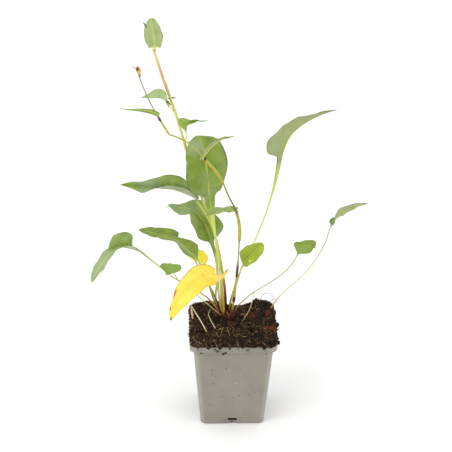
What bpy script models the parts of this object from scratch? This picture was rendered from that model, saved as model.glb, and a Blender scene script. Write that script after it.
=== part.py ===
"""Common bistort growing in a square grey nursery pot.

Lengths are millimetres and angles are degrees; every mesh is written in metres.
The origin is the centre of the pot's underside, +Z is up and -Y is the front.
"""
import math

import bmesh
import bpy
from mathutils import Euler, Vector, noise

MM = 0.001
GAP = 0.35

# Nursery pot
POT_HEIGHT = 97.0
RIM_WIDTH = 90.0
RIM_BAND = 6.5
BODY_TOP_WIDTH = 82.0
BASE_WIDTH = 66.0
WALL = 1.2
FLOOR = 1.6
RIM_RADIUS = 9.0
BODY_RADIUS = 6.5
BASE_RADIUS = 5.5
CORNER_STEPS = 4

# Drainage notch at the middle of each side
PANEL_WIDTH = 16.0
PANEL_HEIGHT = 7.0
PANEL_DEPTH = 0.5
SLOT_WIDTH = 9.4
SLOT_LOW = 3.6
SLOT_HIGH = 6.2
FOOT_CUT_WIDTH = 11.0
FOOT_CUT_HEIGHT = 2.4
FOOT_CUT_DEPTH = 8.0
CUTTER_OUTSIDE = 5.0
CUTTER_BELOW = 1.0

# Peat, heaped above the rim and spread over it
SOIL_SIDES = 40
SOIL_LEVEL = 104.0
SOIL_EDGE_DROP = 1.6
SOIL_LUMP = 1.3
SOIL_LUMP_SIZE = 8.0
SOIL_RAGGED = 1.1
SOIL_DRAWN_IN = 0.45
SOIL_RIGHT_BULGE = 0.9
# Each ring of the heap: share of the way out, share of the height above the rim
SOIL_RINGS = ((0.985, 0.45), (0.945, 0.85), (0.87, 1.0), (0.72, 1.0), (0.55, 1.0),
              (0.37, 1.0), (0.18, 1.0))
# Each hump: x, y, height and spread
SOIL_HUMPS = ((27.0, 38.0, 5.0, 7.0), (39.0, 34.0, 3.5, 7.0), (-24.0, 38.0, 3.0, 9.0),
              (-36.0, -8.0, 1.0, 9.0), (-7.0, 3.0, 1.0, 14.0), (6.0, 46.0, -4.0, 15.0),
              (46.0, -14.0, -3.5, 10.0))

# Crown of old leaf bases that the stalks rise from, narrow at the foot
CROWN_X = -5.5
CROWN_Y = 3.5
CROWN_DEPTH_SHARE = 0.88
# Each level of the crown: height and half width
CROWN_PROFILE = ((98.0, 3.0), (101.0, 4.5), (104.5, 6.0), (108.0, 7.5), (112.0, 9.5),
                 (115.0, 10.5), (117.0, 8.5))
CROWN_TOP = 118.0
CROWN_SIDES = 18
CROWN_RIBS = 9
CROWN_RIB = 0.08

# Leaves
STALK_BASE = 1.1
STALK_TOP = 0.75
STALK_SPACING = 12.0
STALK_LEAD = 1.4
WING_START = 0.55
MIDRIB_HALF = 0.55
MIDRIB_TOP = 0.5
MIDRIB_TAPER = 0.7
BLADE_HALF = 0.28
BLADE_THINNING = 0.4
BLADE_STATIONS = 11
SWEEP_END = 0.2
HALF_BULGE = 0.06
EDGE_TAPER = 0.12

# Stems, loose thin pieces and bark
TALL_STEM_STEPS = 30
FLOWER_STEM_STEPS = 38
BUD_STEPS = 8
THIN_STEPS = 9
THIN_SIDES = 6
THIN_POINT = 0.3
CHIP_SIDES = 7
CHIP_UNEVEN = 0.09
CHIP_WAVE = 2.3

# Colours in linear light
POT_GREY = (0.31, 0.29, 0.25)
PEAT_BROWN = (0.02, 0.013, 0.009)
CROWN_BROWN = (0.09, 0.03, 0.015)
LEAF_GREEN = (0.16, 0.27, 0.06)
LEAF_YELLOW = (0.85, 0.62, 0.05)
STEM_GREEN = (0.34, 0.37, 0.08)
BUD_BROWN = (0.5, 0.25, 0.08)
STRAW_CREAM = (0.75, 0.6, 0.38)
TWIG_BROWN = (0.06, 0.035, 0.02)
BARK_RED = (0.2, 0.06, 0.03)

UP = Vector((0.0, 0.0, 1.0))
FRONT = Vector((0.0, -1.0, 0.0))


def clear_scene():
    for obj in list(bpy.data.objects):
        bpy.data.objects.remove(obj, do_unlink=True)


def make_material(name, colour, roughness):
    material = bpy.data.materials.new(name)
    material.use_nodes = True
    shader = material.node_tree.nodes["Principled BSDF"]
    shader.inputs["Base Color"].default_value = (*colour, 1.0)
    shader.inputs["Roughness"].default_value = roughness
    shader.inputs["Metallic"].default_value = 0.0
    return material


def make_object(name, mesh_data):
    """One named object from a bmesh in millimetres."""
    bmesh.ops.scale(mesh_data, vec=(MM, MM, MM), verts=mesh_data.verts)
    if mesh_data.calc_volume(signed=True) < 0:
        bmesh.ops.reverse_faces(mesh_data, faces=mesh_data.faces)
    mesh = bpy.data.meshes.new(name)
    mesh_data.to_mesh(mesh)
    mesh_data.free()
    obj = bpy.data.objects.new(name, mesh)
    bpy.context.scene.collection.objects.link(obj)
    return obj


def finish(obj, colour, roughness=0.6):
    """Give a piece a material of its own."""
    obj.data.materials.append(make_material(obj.name + "_finish", colour, roughness))
    return obj


def hide_cutter(obj):
    obj.hide_render = True
    obj.display_type = "WIRE"


def cut(obj, cutter):
    modifier = obj.modifiers.new("cut", "BOOLEAN")
    modifier.operation = "DIFFERENCE"
    modifier.solver = "EXACT"
    modifier.object = cutter


def clearance(obj):
    """A copy of a piece grown by the gap, to cut its neighbours with."""
    mesh = obj.data.copy()
    grown = bmesh.new()
    grown.from_mesh(mesh)
    grown.normal_update()
    moves = [vert.normal * GAP * MM for vert in grown.verts]
    for vert, move in zip(grown.verts, moves):
        vert.co += move
    grown.to_mesh(mesh)
    grown.free()
    cutter = bpy.data.objects.new("clear_" + obj.name, mesh)
    bpy.context.scene.collection.objects.link(cutter)
    hide_cutter(cutter)
    return cutter


def box(name, low, high):
    """A cutter box between two corners."""
    shape = bmesh.new()
    bmesh.ops.create_cube(shape, size=1.0)
    for vert in shape.verts:
        vert.co = Vector([low[i] if vert.co[i] < 0 else high[i] for i in range(3)])
    obj = make_object(name, shape)
    hide_cutter(obj)
    return obj


def wedge(name, width, height, near, far):
    """A cutter prism with a triangle of the given width and height, point up."""
    shape = bmesh.new()
    low = -CUTTER_BELOW
    spread = width / 2 * (height - low) / height
    ends = []
    for y in (near, far):
        corners = [(-spread, y, low), (spread, y, low), (0.0, y, height)]
        ends.append([shape.verts.new(corner) for corner in corners])
    shape.faces.new(ends[0])
    shape.faces.new(ends[1][::-1])
    for i in range(3):
        j = (i + 1) % 3
        shape.faces.new((ends[0][j], ends[0][i], ends[1][i], ends[1][j]))
    obj = make_object(name, shape)
    hide_cutter(obj)
    return obj


def bridge(shape, rings):
    for low, high in zip(rings, rings[1:]):
        for i in range(len(low)):
            j = (i + 1) % len(low)
            shape.faces.new((low[i], low[j], high[j], high[i]))


def bridge_blade(shape, rings):
    """Join rings of eight, splitting each panel along the same diagonal on both faces of the blade."""
    for low, high in zip(rings, rings[1:]):
        for i in range(4):
            under = 7 - i
            rising = (high[i + 1].co - low[i].co).length < (high[i].co - low[i + 1].co).length
            for a, b, leans in ((i, i + 1, rising), (under, (under + 1) % 8, not rising)):
                if leans:
                    shape.faces.new((low[a], low[b], high[b]))
                    shape.faces.new((low[a], high[b], high[a]))
                else:
                    shape.faces.new((low[a], low[b], high[a]))
                    shape.faces.new((low[b], high[b], high[a]))


def close_fan(shape, ring, point):
    """Close a ring with triangles that meet in one point."""
    top = shape.verts.new(point)
    for i in range(len(ring)):
        shape.faces.new((ring[i], ring[(i + 1) % len(ring)], top))


def rounded_square(width, radius, z):
    """Points of a square with rounded corners, anticlockwise from the +X side."""
    points = []
    inner = width / 2 - radius
    for quarter in range(4):
        turn = quarter * 90.0
        corner = Vector((inner, inner, z))
        for step in range(CORNER_STEPS + 1):
            angle = math.radians(90.0 * step / CORNER_STEPS)
            spot = corner + Vector((radius * math.cos(angle), radius * math.sin(angle), 0.0))
            points.append(turned(spot, turn))
    return points


def turned(point, degrees):
    angle = math.radians(degrees)
    x = point.x * math.cos(angle) - point.y * math.sin(angle)
    y = point.x * math.sin(angle) + point.y * math.cos(angle)
    return Vector((x, y, point.z))


def square_radius(width, radius, angle):
    """Distance from the centre to a rounded square's edge in one direction."""
    half = width / 2
    across = abs(math.cos(angle))
    along = abs(math.sin(angle))
    reach = half / max(across, along)
    inner = half - radius
    x = reach * across
    y = reach * along
    if min(x, y) > inner:
        middle = inner * (across + along)
        reach = middle + math.sqrt(middle ** 2 - 2 * inner ** 2 + radius ** 2)
    return reach


def make_pot():
    band_low = POT_HEIGHT - RIM_BAND
    outline = [
        (BASE_WIDTH, BASE_RADIUS, 0.0),
        (BODY_TOP_WIDTH, BODY_RADIUS, band_low),
        (RIM_WIDTH, RIM_RADIUS, band_low),
        (RIM_WIDTH, RIM_RADIUS, POT_HEIGHT),
        (RIM_WIDTH - 2 * WALL, RIM_RADIUS - WALL, POT_HEIGHT),
        (RIM_WIDTH - 2 * WALL, RIM_RADIUS - WALL, band_low + WALL),
        (BODY_TOP_WIDTH - 2 * WALL, BODY_RADIUS - WALL, band_low + WALL),
        (BASE_WIDTH - 2 * WALL, BASE_RADIUS - WALL, FLOOR),
    ]
    shape = bmesh.new()
    rings = [[shape.verts.new(p) for p in rounded_square(*row)] for row in outline]
    bridge(shape, rings)
    shape.faces.new(rings[0][::-1])
    shape.faces.new(rings[-1])
    pot = finish(make_object("pot", shape), POT_GREY, 0.5)
    half = BASE_WIDTH / 2
    lean = (BODY_TOP_WIDTH - BASE_WIDTH) / 2 / band_low
    for side in range(4):
        name = "side_%d" % side
        outside = half + CUTTER_OUTSIDE
        panel_face = half + lean * PANEL_HEIGHT / 2 - PANEL_DEPTH
        cutters = [
            box("panel_" + name, (-PANEL_WIDTH / 2, -outside, -CUTTER_BELOW),
                (PANEL_WIDTH / 2, -panel_face, PANEL_HEIGHT)),
            box("slot_" + name, (-SLOT_WIDTH / 2, -outside, SLOT_LOW),
                (SLOT_WIDTH / 2, -half + 3 * WALL, SLOT_HIGH)),
            wedge("foot_" + name, FOOT_CUT_WIDTH, FOOT_CUT_HEIGHT, -outside, -half + FOOT_CUT_DEPTH),
        ]
        for cutter in cutters:
            cutter.rotation_euler.z = math.radians(90.0 * side)
            cut(pot, cutter)
    return pot


def soil_height(x, y):
    """Level of the peat above the pot's underside."""
    reach = max(abs(x), abs(y)) / (RIM_WIDTH / 2)
    level = SOIL_LEVEL - SOIL_EDGE_DROP * reach ** 6
    for hump_x, hump_y, height, spread in SOIL_HUMPS:
        away = math.hypot(x - hump_x, y - hump_y) / spread
        level += height * math.exp(-away ** 2)
    return level + SOIL_LUMP * noise.noise(Vector((x, y, 0.0)) / SOIL_LUMP_SIZE)


def soil_reach(angle):
    """Distance from the centre to the ragged edge of the heap."""
    reach = square_radius(RIM_WIDTH, RIM_RADIUS, angle)
    spot = Vector((math.cos(angle), math.sin(angle), 0.0)) * reach / SOIL_LUMP_SIZE
    bulge = SOIL_RIGHT_BULGE * max(0.0, math.cos(angle))
    return reach + bulge + SOIL_RAGGED * noise.noise(spot) - SOIL_DRAWN_IN


def make_soil():
    """A body that fills the pot, and the heap that covers the rim."""
    shape = bmesh.new()
    angles = [2 * math.pi * (i + 0.5) / SOIL_SIDES for i in range(SOIL_SIDES)]
    step_level = POT_HEIGHT - RIM_BAND + WALL + GAP
    inside = [
        (BASE_WIDTH - 2 * WALL - 2 * GAP, BASE_RADIUS - WALL, FLOOR + GAP),
        (BODY_TOP_WIDTH - 2 * WALL - 2 * GAP, BODY_RADIUS - WALL, step_level),
        (RIM_WIDTH - 2 * WALL - 2 * GAP, RIM_RADIUS - WALL, step_level),
        (RIM_WIDTH - 2 * WALL - 2 * GAP, RIM_RADIUS - WALL, POT_HEIGHT + GAP),
    ]
    rings = []
    for width, radius, z in inside:
        rings.append([])
        for angle in angles:
            reach = square_radius(width, radius, angle)
            rings[-1].append(shape.verts.new((reach * math.cos(angle), reach * math.sin(angle), z)))
    for share, rise in ((1.0, 0.0),) + SOIL_RINGS:
        rings.append([])
        for angle in angles:
            x = share * soil_reach(angle) * math.cos(angle)
            y = share * soil_reach(angle) * math.sin(angle)
            z = POT_HEIGHT + GAP + rise * (soil_height(x, y) - POT_HEIGHT - GAP)
            rings[-1].append(shape.verts.new((x, y, z)))
    bridge(shape, rings)
    shape.faces.new(rings[0][::-1])
    close_fan(shape, rings[-1], (0.0, 0.0, soil_height(0.0, 0.0)))
    return finish(make_object("soil", shape), PEAT_BROWN, 0.95)


def make_crown():
    """A ribbed bundle of old leaf bases, widening upwards from the peat."""
    shape = bmesh.new()
    rings = []
    for z, half in CROWN_PROFILE:
        rings.append([])
        for side in range(CROWN_SIDES):
            angle = 2 * math.pi * side / CROWN_SIDES
            reach = half * (1.0 + CROWN_RIB * math.cos(CROWN_RIBS * angle))
            x = CROWN_X + reach * math.cos(angle)
            y = CROWN_Y + CROWN_DEPTH_SHARE * reach * math.sin(angle)
            rings[-1].append(shape.verts.new((x, y, z)))
    bridge(shape, rings)
    shape.faces.new(rings[0][::-1])
    close_fan(shape, rings[-1], (CROWN_X, CROWN_Y, CROWN_TOP))
    return finish(make_object("crown", shape), CROWN_BROWN, 0.85)


class Path:
    """A smooth curve through a few points, read by its distance along the chords."""

    def __init__(self, points):
        self.points = [Vector(p) for p in points]
        self.marks = [0.0]
        for a, b in zip(self.points, self.points[1:]):
            self.marks.append(self.marks[-1] + (b - a).length)
        self.slopes = self.find_slopes()

    def find_slopes(self):
        gaps = [b - a for a, b in zip(self.marks, self.marks[1:])]
        chords = [(b - a) / gap for a, b, gap in zip(self.points, self.points[1:], gaps)]
        if len(chords) == 1:
            return [chords[0], chords[0]]
        slopes = []
        for i in range(1, len(chords)):
            total = gaps[i - 1] + gaps[i]
            slopes.append((chords[i - 1] * gaps[i] + chords[i] * gaps[i - 1]) / total)
        first = 2 * chords[0] - slopes[0]
        last = 2 * chords[-1] - slopes[-1]
        return [first] + slopes + [last]

    def length(self):
        return self.marks[-1]

    def at(self, distance):
        """The point and the unit direction at a distance from the start."""
        distance = min(max(distance, 0.0), self.length())
        i = 0
        while i < len(self.marks) - 2 and distance > self.marks[i + 1]:
            i += 1
        gap = self.marks[i + 1] - self.marks[i]
        u = (distance - self.marks[i]) / gap
        p0, p1 = self.points[i], self.points[i + 1]
        m0, m1 = self.slopes[i] * gap, self.slopes[i + 1] * gap
        point = (2 * u ** 3 - 3 * u ** 2 + 1) * p0 + (u ** 3 - 2 * u ** 2 + u) * m0
        point += (3 * u ** 2 - 2 * u ** 3) * p1 + (u ** 3 - u ** 2) * m1
        slope = (6 * u ** 2 - 6 * u) * (p0 - p1) + (3 * u ** 2 - 4 * u + 1) * m0
        slope += (3 * u ** 2 - 2 * u) * m1
        return point, slope.normalized()


def between(values, t):
    """Value at t from 0 to 1 along an evenly spaced list."""
    place = t * (len(values) - 1)
    i = min(int(place), len(values) - 2)
    share = place - i
    return values[i] * (1.0 - share) + values[i + 1] * share


def square_to(direction, hint):
    """The part of a hint direction that is square to another, as a unit vector."""
    return (hint - hint.dot(direction) * direction).normalized()


def tube(shape, path, radius_at, steps, sides=8, side_hint=FRONT):
    """A closed round stem along a path, with its radius from a function of t."""
    rings = []
    normal = square_to(path.at(0.0)[1], side_hint)
    for step in range(steps + 1):
        t = step / steps
        point, direction = path.at(t * path.length())
        normal = square_to(direction, normal)
        side = direction.cross(normal)
        ring = []
        for i in range(sides):
            angle = 2 * math.pi * i / sides
            offset = math.cos(angle) * side + math.sin(angle) * normal
            ring.append(shape.verts.new(point + radius_at(t) * offset))
        rings.append(ring)
    bridge(shape, rings)
    shape.faces.new(rings[0][::-1])
    shape.faces.new(rings[-1])


def stalk_ring(point, side, normal, radius, wing, lift):
    """Eight points round a stalk, its two side points drawn out into wings."""
    slant = radius * math.sqrt(0.5)
    spread = radius + wing * math.cos(math.radians(lift))
    raised = wing * math.sin(math.radians(lift)) * normal
    return [
        point - spread * side + raised,
        point - slant * side + slant * normal,
        point + radius * normal,
        point + slant * side + slant * normal,
        point + spread * side + raised,
        point + slant * side - slant * normal,
        point - radius * normal,
        point - slant * side - slant * normal,
    ]


def outline_at(t, outline):
    """Place along the blade and share of its half width, for t from base to tip."""
    sweep, shoulder, widest, point = outline
    along = t - sweep * max(0.0, 1.0 - t / SWEEP_END) ** 2
    if t < widest:
        return along, shoulder + (1.0 - shoulder) * math.sin(math.pi / 2 * t / widest)
    return along, max(0.0, math.cos(math.pi / 2 * (t - widest) / (1.0 - widest))) ** point


def blade_frame(direction, leaf, t):
    """Directions to the blade's right side and out of its upper face."""
    hint = leaf["facing"].lerp(leaf.get("tip_facing", leaf["facing"]), t)
    normal = square_to(direction, hint)
    side = direction.cross(normal)
    roll = math.radians(between(leaf["roll"], t))
    turned_normal = normal * math.cos(roll) + side * math.sin(roll)
    turned_side = side * math.cos(roll) - normal * math.sin(roll)
    return turned_side, turned_normal


def blade_half(point, back, side, normal, width, lift, hand):
    """Middle and edge of one half of the blade, lifted towards the upper face."""
    angle = math.radians(lift)
    out = hand * side * math.cos(angle) + normal * math.sin(angle)
    face = normal * math.cos(angle) - hand * side * math.sin(angle)
    edge = point + back + out * width
    middle = point + back / 2 + out * (width / 2) + face * (width * HALF_BULGE)
    return middle, edge, face


def blade_ring(path, start, leaf, t):
    length = path.length() - start
    point, direction = path.at(start + t * length)
    side, normal = blade_frame(direction, leaf, t)
    along, share = outline_at(t, leaf["outline"])
    back = (along - t) * length * direction
    width = leaf["width"] * share
    left_width = width * between(leaf.get("left_share", (1, 1)), t)
    right_width = width * between(leaf.get("right_share", (1, 1)), t)
    left = blade_half(point, back, side, normal, left_width, between(leaf["left"], t), -1)
    right = blade_half(point, back, side, normal, right_width, between(leaf["right"], t), 1)
    rib = MIDRIB_HALF * (1.0 - MIDRIB_TAPER * t)
    thin = min(BLADE_HALF * (1.0 - BLADE_THINNING * t), EDGE_TAPER * width)
    return [
        left[1],
        left[0] + thin * left[2],
        point + MIDRIB_TOP * rib * normal,
        right[0] + thin * right[2],
        right[1],
        right[0] - thin * right[2],
        point - rib * normal,
        left[0] - thin * left[2],
    ]


def notch_depth(blade, reach, leaf):
    """How far behind the blade's start the stalk's sides come out from between the base lobes."""
    sweep, shoulder = leaf["outline"][:2]
    return reach * sweep * blade / (shoulder * leaf["width"])


def stalk_rings(path, start, leaf):
    """Rings of a stalk from the blade down to its foot."""
    if start <= 0:
        return []
    base_radius = leaf.get("stalk", STALK_BASE)
    wing_width = leaf.get("wing", 0.0)
    normal = blade_frame(path.at(start)[1], leaf, 0.0)[1]
    wing_start = leaf.get("wing_start", WING_START)
    top_radius = leaf.get("stalk_top", STALK_TOP)
    notch = notch_depth(path.length() - start, top_radius + wing_width, leaf)
    lead = min(max(STALK_LEAD, notch), start / 2)
    steps = max(2, round(start / STALK_SPACING))
    rings = []
    for step in range(steps + 1):
        distance = (start - lead) * (1.0 - step / steps)
        t = distance / start
        point, direction = path.at(distance)
        normal = square_to(direction, normal)
        radius = base_radius + (top_radius - base_radius) * t
        wing = wing_width * max(0.0, (t - wing_start) / (1.0 - wing_start)) ** 2
        rings.append(stalk_ring(point, direction.cross(normal), normal, radius, wing, leaf.get("wing_lift", 0)))
    return rings


def make_leaf(name, leaf):
    """A stalk and its blade, grown as one piece."""
    shape = bmesh.new()
    path = Path(leaf["path"])
    start = path.marks[leaf["attach"]]
    rings = []
    for ring in reversed(stalk_rings(path, start, leaf)):
        rings.append([shape.verts.new(p) for p in ring])
    stations = leaf.get("stations", BLADE_STATIONS)
    for i in range(stations):
        ring = blade_ring(path, start, leaf, i / stations)
        rings.append([shape.verts.new(p) for p in ring])
    bridge_blade(shape, rings)
    shape.faces.new(rings[0][::-1])
    close_fan(shape, rings[-1], path.at(path.length())[0])
    return finish(make_object(name, shape), leaf.get("colour", LEAF_GREEN))


# Each leaf: points from the stalk's foot to the tip, the point where the blade
# starts, the way its upper face looks, the roll about the midrib from base to
# tip, the lift of each half, the half width, any share of it that each half
# keeps, and its outline as sweep of the base, shoulder width, widest place and
# sharpness of the tip.
CROWN_LEAVES = {
    "leaf_broad": dict(
        path=[(-9, 4, 110), (-10, 4, 116), (-14, 3, 166), (-25, 6, 246), (-27, 6, 268), (-29, 7, 280),
              (-31, 9, 290), (-34, 12, 299), (-37, 17, 303), (-39, 22, 300), (-40, 27, 291)],
        attach=3, facing=FRONT, tip_facing=UP, roll=(15, 25, 20), left=(-5, 5, 5, -45, -60),
        right=(-5, 5, 5, 0, -10), left_share=(0.95, 0.95, 0.95, 0.6, 0.4), right_share=(0.75, 0.95, 1.0, 1.0),
        width=24.5, outline=(0.0, 0.7, 0.45, 0.7), wing=6.0),
    "leaf_left_long": dict(
        path=[(-10, 7, 110), (-12, 8, 117), (-16, 7, 165), (-20, 8, 202), (-27, 9, 219), (-35, 13, 231),
              (-39, 17, 235), (-50, 22, 239), (-59, 25, 241), (-78, 32, 240), (-93, 38, 239),
              (-104, 42, 239), (-116, 46, 238)],
        attach=6, facing=UP, roll=(-10, -35, -55), left=(80, 75, 25, 30), right=(65, 50, 70, 50),
        left_share=(0.5, 0.65, 1.0, 1.0), width=15.0, outline=(0.05, 0.3, 0.2, 1.0), wing=1.0),
    "leaf_centre": dict(
        path=[(-11, 9, 110), (-14, 12, 113), (-16, 12, 152), (-19, 12, 178), (-23, 16, 190), (-31, 22, 208),
              (-42, 30, 217), (-48, 32, 218), (-57, 36, 217), (-65, 40, 218), (-69, 43, 212)],
        attach=4, facing=UP, roll=(-20, -20, -20), left=(20, 20, -5, -5), right=(20, 70, -5, -10),
        left_share=(0.9, 0.95, 0.95, 0.6, 1.2, 1.2, 1.0), width=17.5, outline=(0.0, 0.3, 0.15, 1.35)),
    "leaf_left_back": dict(
        path=[(-10, 4, 109), (-13, 4, 117), (-30, -6, 159), (-59, -15, 204), (-69, -18, 209),
              (-82, -24, 216), (-89, -27, 219), (-95, -30, 222)],
        attach=3, facing=UP, roll=(-20, -20, -50), left=(40, 20, 10, 10), right=(60, 20, 10, 5),
        width=9.5, outline=(0.03, 0.8, 0.15, 0.75)),
    "leaf_left_front": dict(
        path=[(-11, 2, 110), (-15, 1, 118), (-33, -17, 176), (-38, -20, 186), (-48, -27, 199),
              (-52, -31, 206), (-60, -36, 215), (-69, -42, 220), (-79, -47, 225)],
        attach=3, facing=UP, roll=(40, 35, 55), left=(70, 25, -10, 15), right=(5, 40, 0, 0),
        width=11.0, outline=(0.0, 0.35, 0.15, 0.65)),
    "leaf_yellow_small": dict(
        path=[(-9, 1, 109), (-11, 0, 115), (-17, 0, 146), (-22, -2, 158), (-30, -5, 173), (-33, -5, 179),
              (-37, -4, 185), (-43, -2, 194)],
        attach=4, facing=FRONT, roll=(-30, -35, -40), left=(0, 15, 20, 20), right=(-5, 0, 15, 30),
        width=11.0, outline=(0.0, 0.3, 0.5, 1.05), colour=LEAF_YELLOW),
    "leaf_yellow": dict(
        path=[(-9, -2, 110), (-9.5, -3, 121), (-10.5, -6, 137), (-11.5, -9, 150), (-11.3, -10.5, 158),
              (-9.5, -11.8, 164), (-7, -12.8, 168.5), (-6.2, -14.2, 169.6), (-7.2, -15.4, 168.2),
              (-10.7, -16.5, 164.6), (-15, -18.2, 163.2), (-20.5, -20.3, 163.6), (-31, -25, 167),
              (-38, -30, 167), (-46, -37, 161), (-54, -43, 152), (-60, -49, 143), (-64, -52, 132)],
        attach=11, facing=UP, roll=(-55, -50, -50), left=(20, 20, 25, 20), right=(20, 20, 20, 20),
        left_share=(0.75, 1.0, 1.0, 1.0), width=13.5, outline=(0.03, 0.72, 0.2, 0.8), wing=4.5,
        wing_start=0.76, stalk=1.2, stalk_top=0.8, colour=LEAF_YELLOW),
    "leaf_far_left": dict(
        path=[(-13, -1, 112), (-17, -3, 121), (-66, -29, 173), (-82, -38, 192), (-97, -45, 207),
              (-115, -54, 214), (-120, -56, 212), (-127, -61, 205), (-131, -63, 200), (-140, -68, 183)],
        attach=4, facing=UP, roll=(0, 15, -15), left=(25, 15, 0, 20), right=(75, 60, 0, 20),
        right_share=(0.8, 1.0, 1.0, 0.4, 0.8, 1.0, 1.0, 1.0, 1.0), width=15.0,
        outline=(0.0, 0.75, 0.1, 0.75), wing=1.5, stalk=0.95),
    "leaf_tall_right": dict(
        path=[(-3, 8, 110), (-3, 9, 116), (1, 7, 137), (11, 8, 166), (22, 12, 190), (37, 20, 230),
              (47, 29, 267), (49, 32, 276), (53, 35, 288), (57, 37, 295), (64, 39, 302), (83, 43, 313),
              (105, 48, 319)],
        attach=7, facing=UP, roll=(-40, -40, -30, -20), left=(70, 70, 50, 20), right=(60, 60, 40, 5),
        left_share=(0.6, 0.5, 0.4, 0.5, 0.8),
        right_share=(1.2, 1.18, 0.82, 0.66, 0.6, 0.5, 0.5, 0.6, 1.0), width=18.0,
        outline=(0.03, 0.92, 0.1, 1.0), wing=4.5, wing_lift=75, stalk=1.0, stalk_top=0.8),
    "leaf_bright": dict(
        path=[(-4, 5, 110), (-3, 5, 118), (1, 0, 140), (4, -2, 150), (10, -12, 176), (16, -18, 187),
              (22, -22, 197), (28, -27, 206)],
        attach=4, facing=FRONT, roll=(-50, -35, -10), left=(20, 40, 35, 20), right=(35, 40, 30, 0),
        width=11.5, outline=(0.01, 0.3, 0.4, 0.6), stations=8),
    "leaf_small_right": dict(
        path=[(1, 3, 109), (4, 2, 118), (8, -1, 125), (54, -31, 180), (59, -36, 190), (63, -40, 201),
              (67, -43, 206), (78, -49, 218)],
        attach=5, facing=UP, roll=(-55, -50, -55), left=(15, 20, 10, 15), right=(20, 20, 10, 25),
        width=11.0, outline=(0.0, 0.3, 0.2, 0.6), stalk=0.65, stalk_top=0.6, stations=8),
    "leaf_small_left": dict(
        path=[(-11.3, -2.2, 110.5), (-13.5, -4.2, 114), (-17, -6.5, 118.5), (-36, -16.1, 141.2),
              (-54.7, -26, 162.4), (-58.1, -28.5, 168.8), (-60.3, -32, 177.2), (-63, -34.6, 185.2),
              (-63.6, -36, 188.2), (-63.9, -37.8, 188.9), (-64, -39.4, 187.6), (-64.7, -40.6, 184),
              (-68.2, -42.4, 178)],
        attach=10, facing=FRONT, roll=(0, 0, 0), left=(25, 20, 15, 15), right=(20, 15, 15, 15),
        width=10.6, outline=(0.1, 0.75, 0.15, 1.25), stalk=0.6, stalk_top=0.5, stations=8),
}

SOIL_LEAVES = {
    "leaf_far_right": dict(
        path=[(38, 27, 97), (42, 28, 105), (85, 35, 153), (97, 39, 174), (104, 42, 195), (107, 44, 199),
              (116, 46, 205), (134, 51, 212), (142, 54, 213)],
        attach=4, facing=UP, roll=(-15, -50, -60), left=(15, 0, 15, 10), right=(5, 45, 25, 15),
        width=8.5, outline=(0.0, 0.6, 0.2, 0.85), stalk=0.75, stalk_top=0.6),
}

TALL_STEM_LEAVES = {
    "tall_stem_leaf_top": dict(
        path=[(-79, 22, 390), (-78.4, 20.5, 395), (-78.6, 18, 402), (-80, 15, 412), (-81, 12, 425)],
        attach=1, facing=FRONT, roll=(195, 195), left=(-10, 15, 20, 30), right=(0, 15, 25, 25),
        width=9.3, outline=(0.1, 0.6, 0.3, 0.5), stalk=1.4, stalk_top=1.1, stations=9),
    "tall_stem_leaf_left": dict(
        path=[(-59, 20, 326), (-63.5, 18, 332.5), (-67, 16.5, 338.6), (-70, 15, 342.2), (-73, 13.5, 344.3),
              (-77.5, 11, 345.3), (-84, 8, 346), (-92, 4, 348)],
        attach=2, facing=UP, roll=(10, 10, 5), left=(-40, -25, 85, 85, 85, 80, 80), right=(50, 20, 15, 20),
        right_share=(0.4, 0.8, 1.0, 1.0), width=8.6, outline=(0.16, 0.7, 0.35, 1.1), stalk=0.6, stalk_top=0.55, stations=10),
    "tall_stem_leaf_right": dict(
        path=[(-50, 19, 294), (-48, 16, 302), (-48, 13, 310), (-47, 11, 317), (-41, 7, 322),
              (-34, 3, 324), (-27, -2, 326)],
        attach=2, facing=FRONT, roll=(-55, -20, -20), left=(15, 45, 70, 60), right=(60, 50, 70, 55),
        left_share=(0.8, 1.0, 0.5, 0.4, 0.4), right_share=(0.3, 0.45, 0.4, 0.4, 0.4), width=10.0,
        outline=(0.03, 0.4, 0.25, 1.2), wing=1.5, stalk=0.6, stalk_top=0.6, stations=9),
}

FLOWER_STEM_LEAVES = {
    "flower_stem_leaf_upper": dict(
        path=[(-74.5, -21.6, 338.4), (-79, -21, 341), (-84, -19, 342), (-90, -16, 342), (-98, -12, 341),
              (-105, -9, 340), (-112, -5, 340)],
        attach=0, facing=UP, roll=(-15, -10, 0), left=(10, 0, 0, 5), right=(15, 0, 0, 5),
        width=3.4, outline=(0.08, 0.9, 0.05, 0.95), stations=8),
    "flower_stem_leaf_middle": dict(
        path=[(-31.5, -13, 289.5), (-30.1, -14, 294.1), (-26.9, -17, 299.1), (-25, -20, 303.8),
              (-21, -24, 309.2), (-16.2, -28, 314.8), (-12.3, -32, 318.6), (-7.6, -34, 320.4),
              (-2.2, -36, 323.1)],
        attach=0, facing=UP, roll=(-20, -20, -10), left=(75, 75, 70, 40), right=(75, 75, 60, 20),
        left_share=(1.0, 0.95, 0.8, 0.6, 0.9, 1.0), right_share=(1.0, 0.95, 0.8, 0.5, 0.9, 1.0), width=5.2,
        outline=(0.05, 0.75, 0.25, 0.75), stations=10),
    "flower_stem_leaf_lower": dict(
        path=[(1, -10, 233), (-9, -14, 235), (-15, -17, 236), (-22, -20, 236), (-29, -23, 234)],
        attach=0, facing=UP, roll=(-5, -5, -45), left=(25, 15, 15, 10), right=(60, 0, 50, 55),
        width=6.3, outline=(0.1, 0.6, 0.25, 0.85), stations=8),
}

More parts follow.
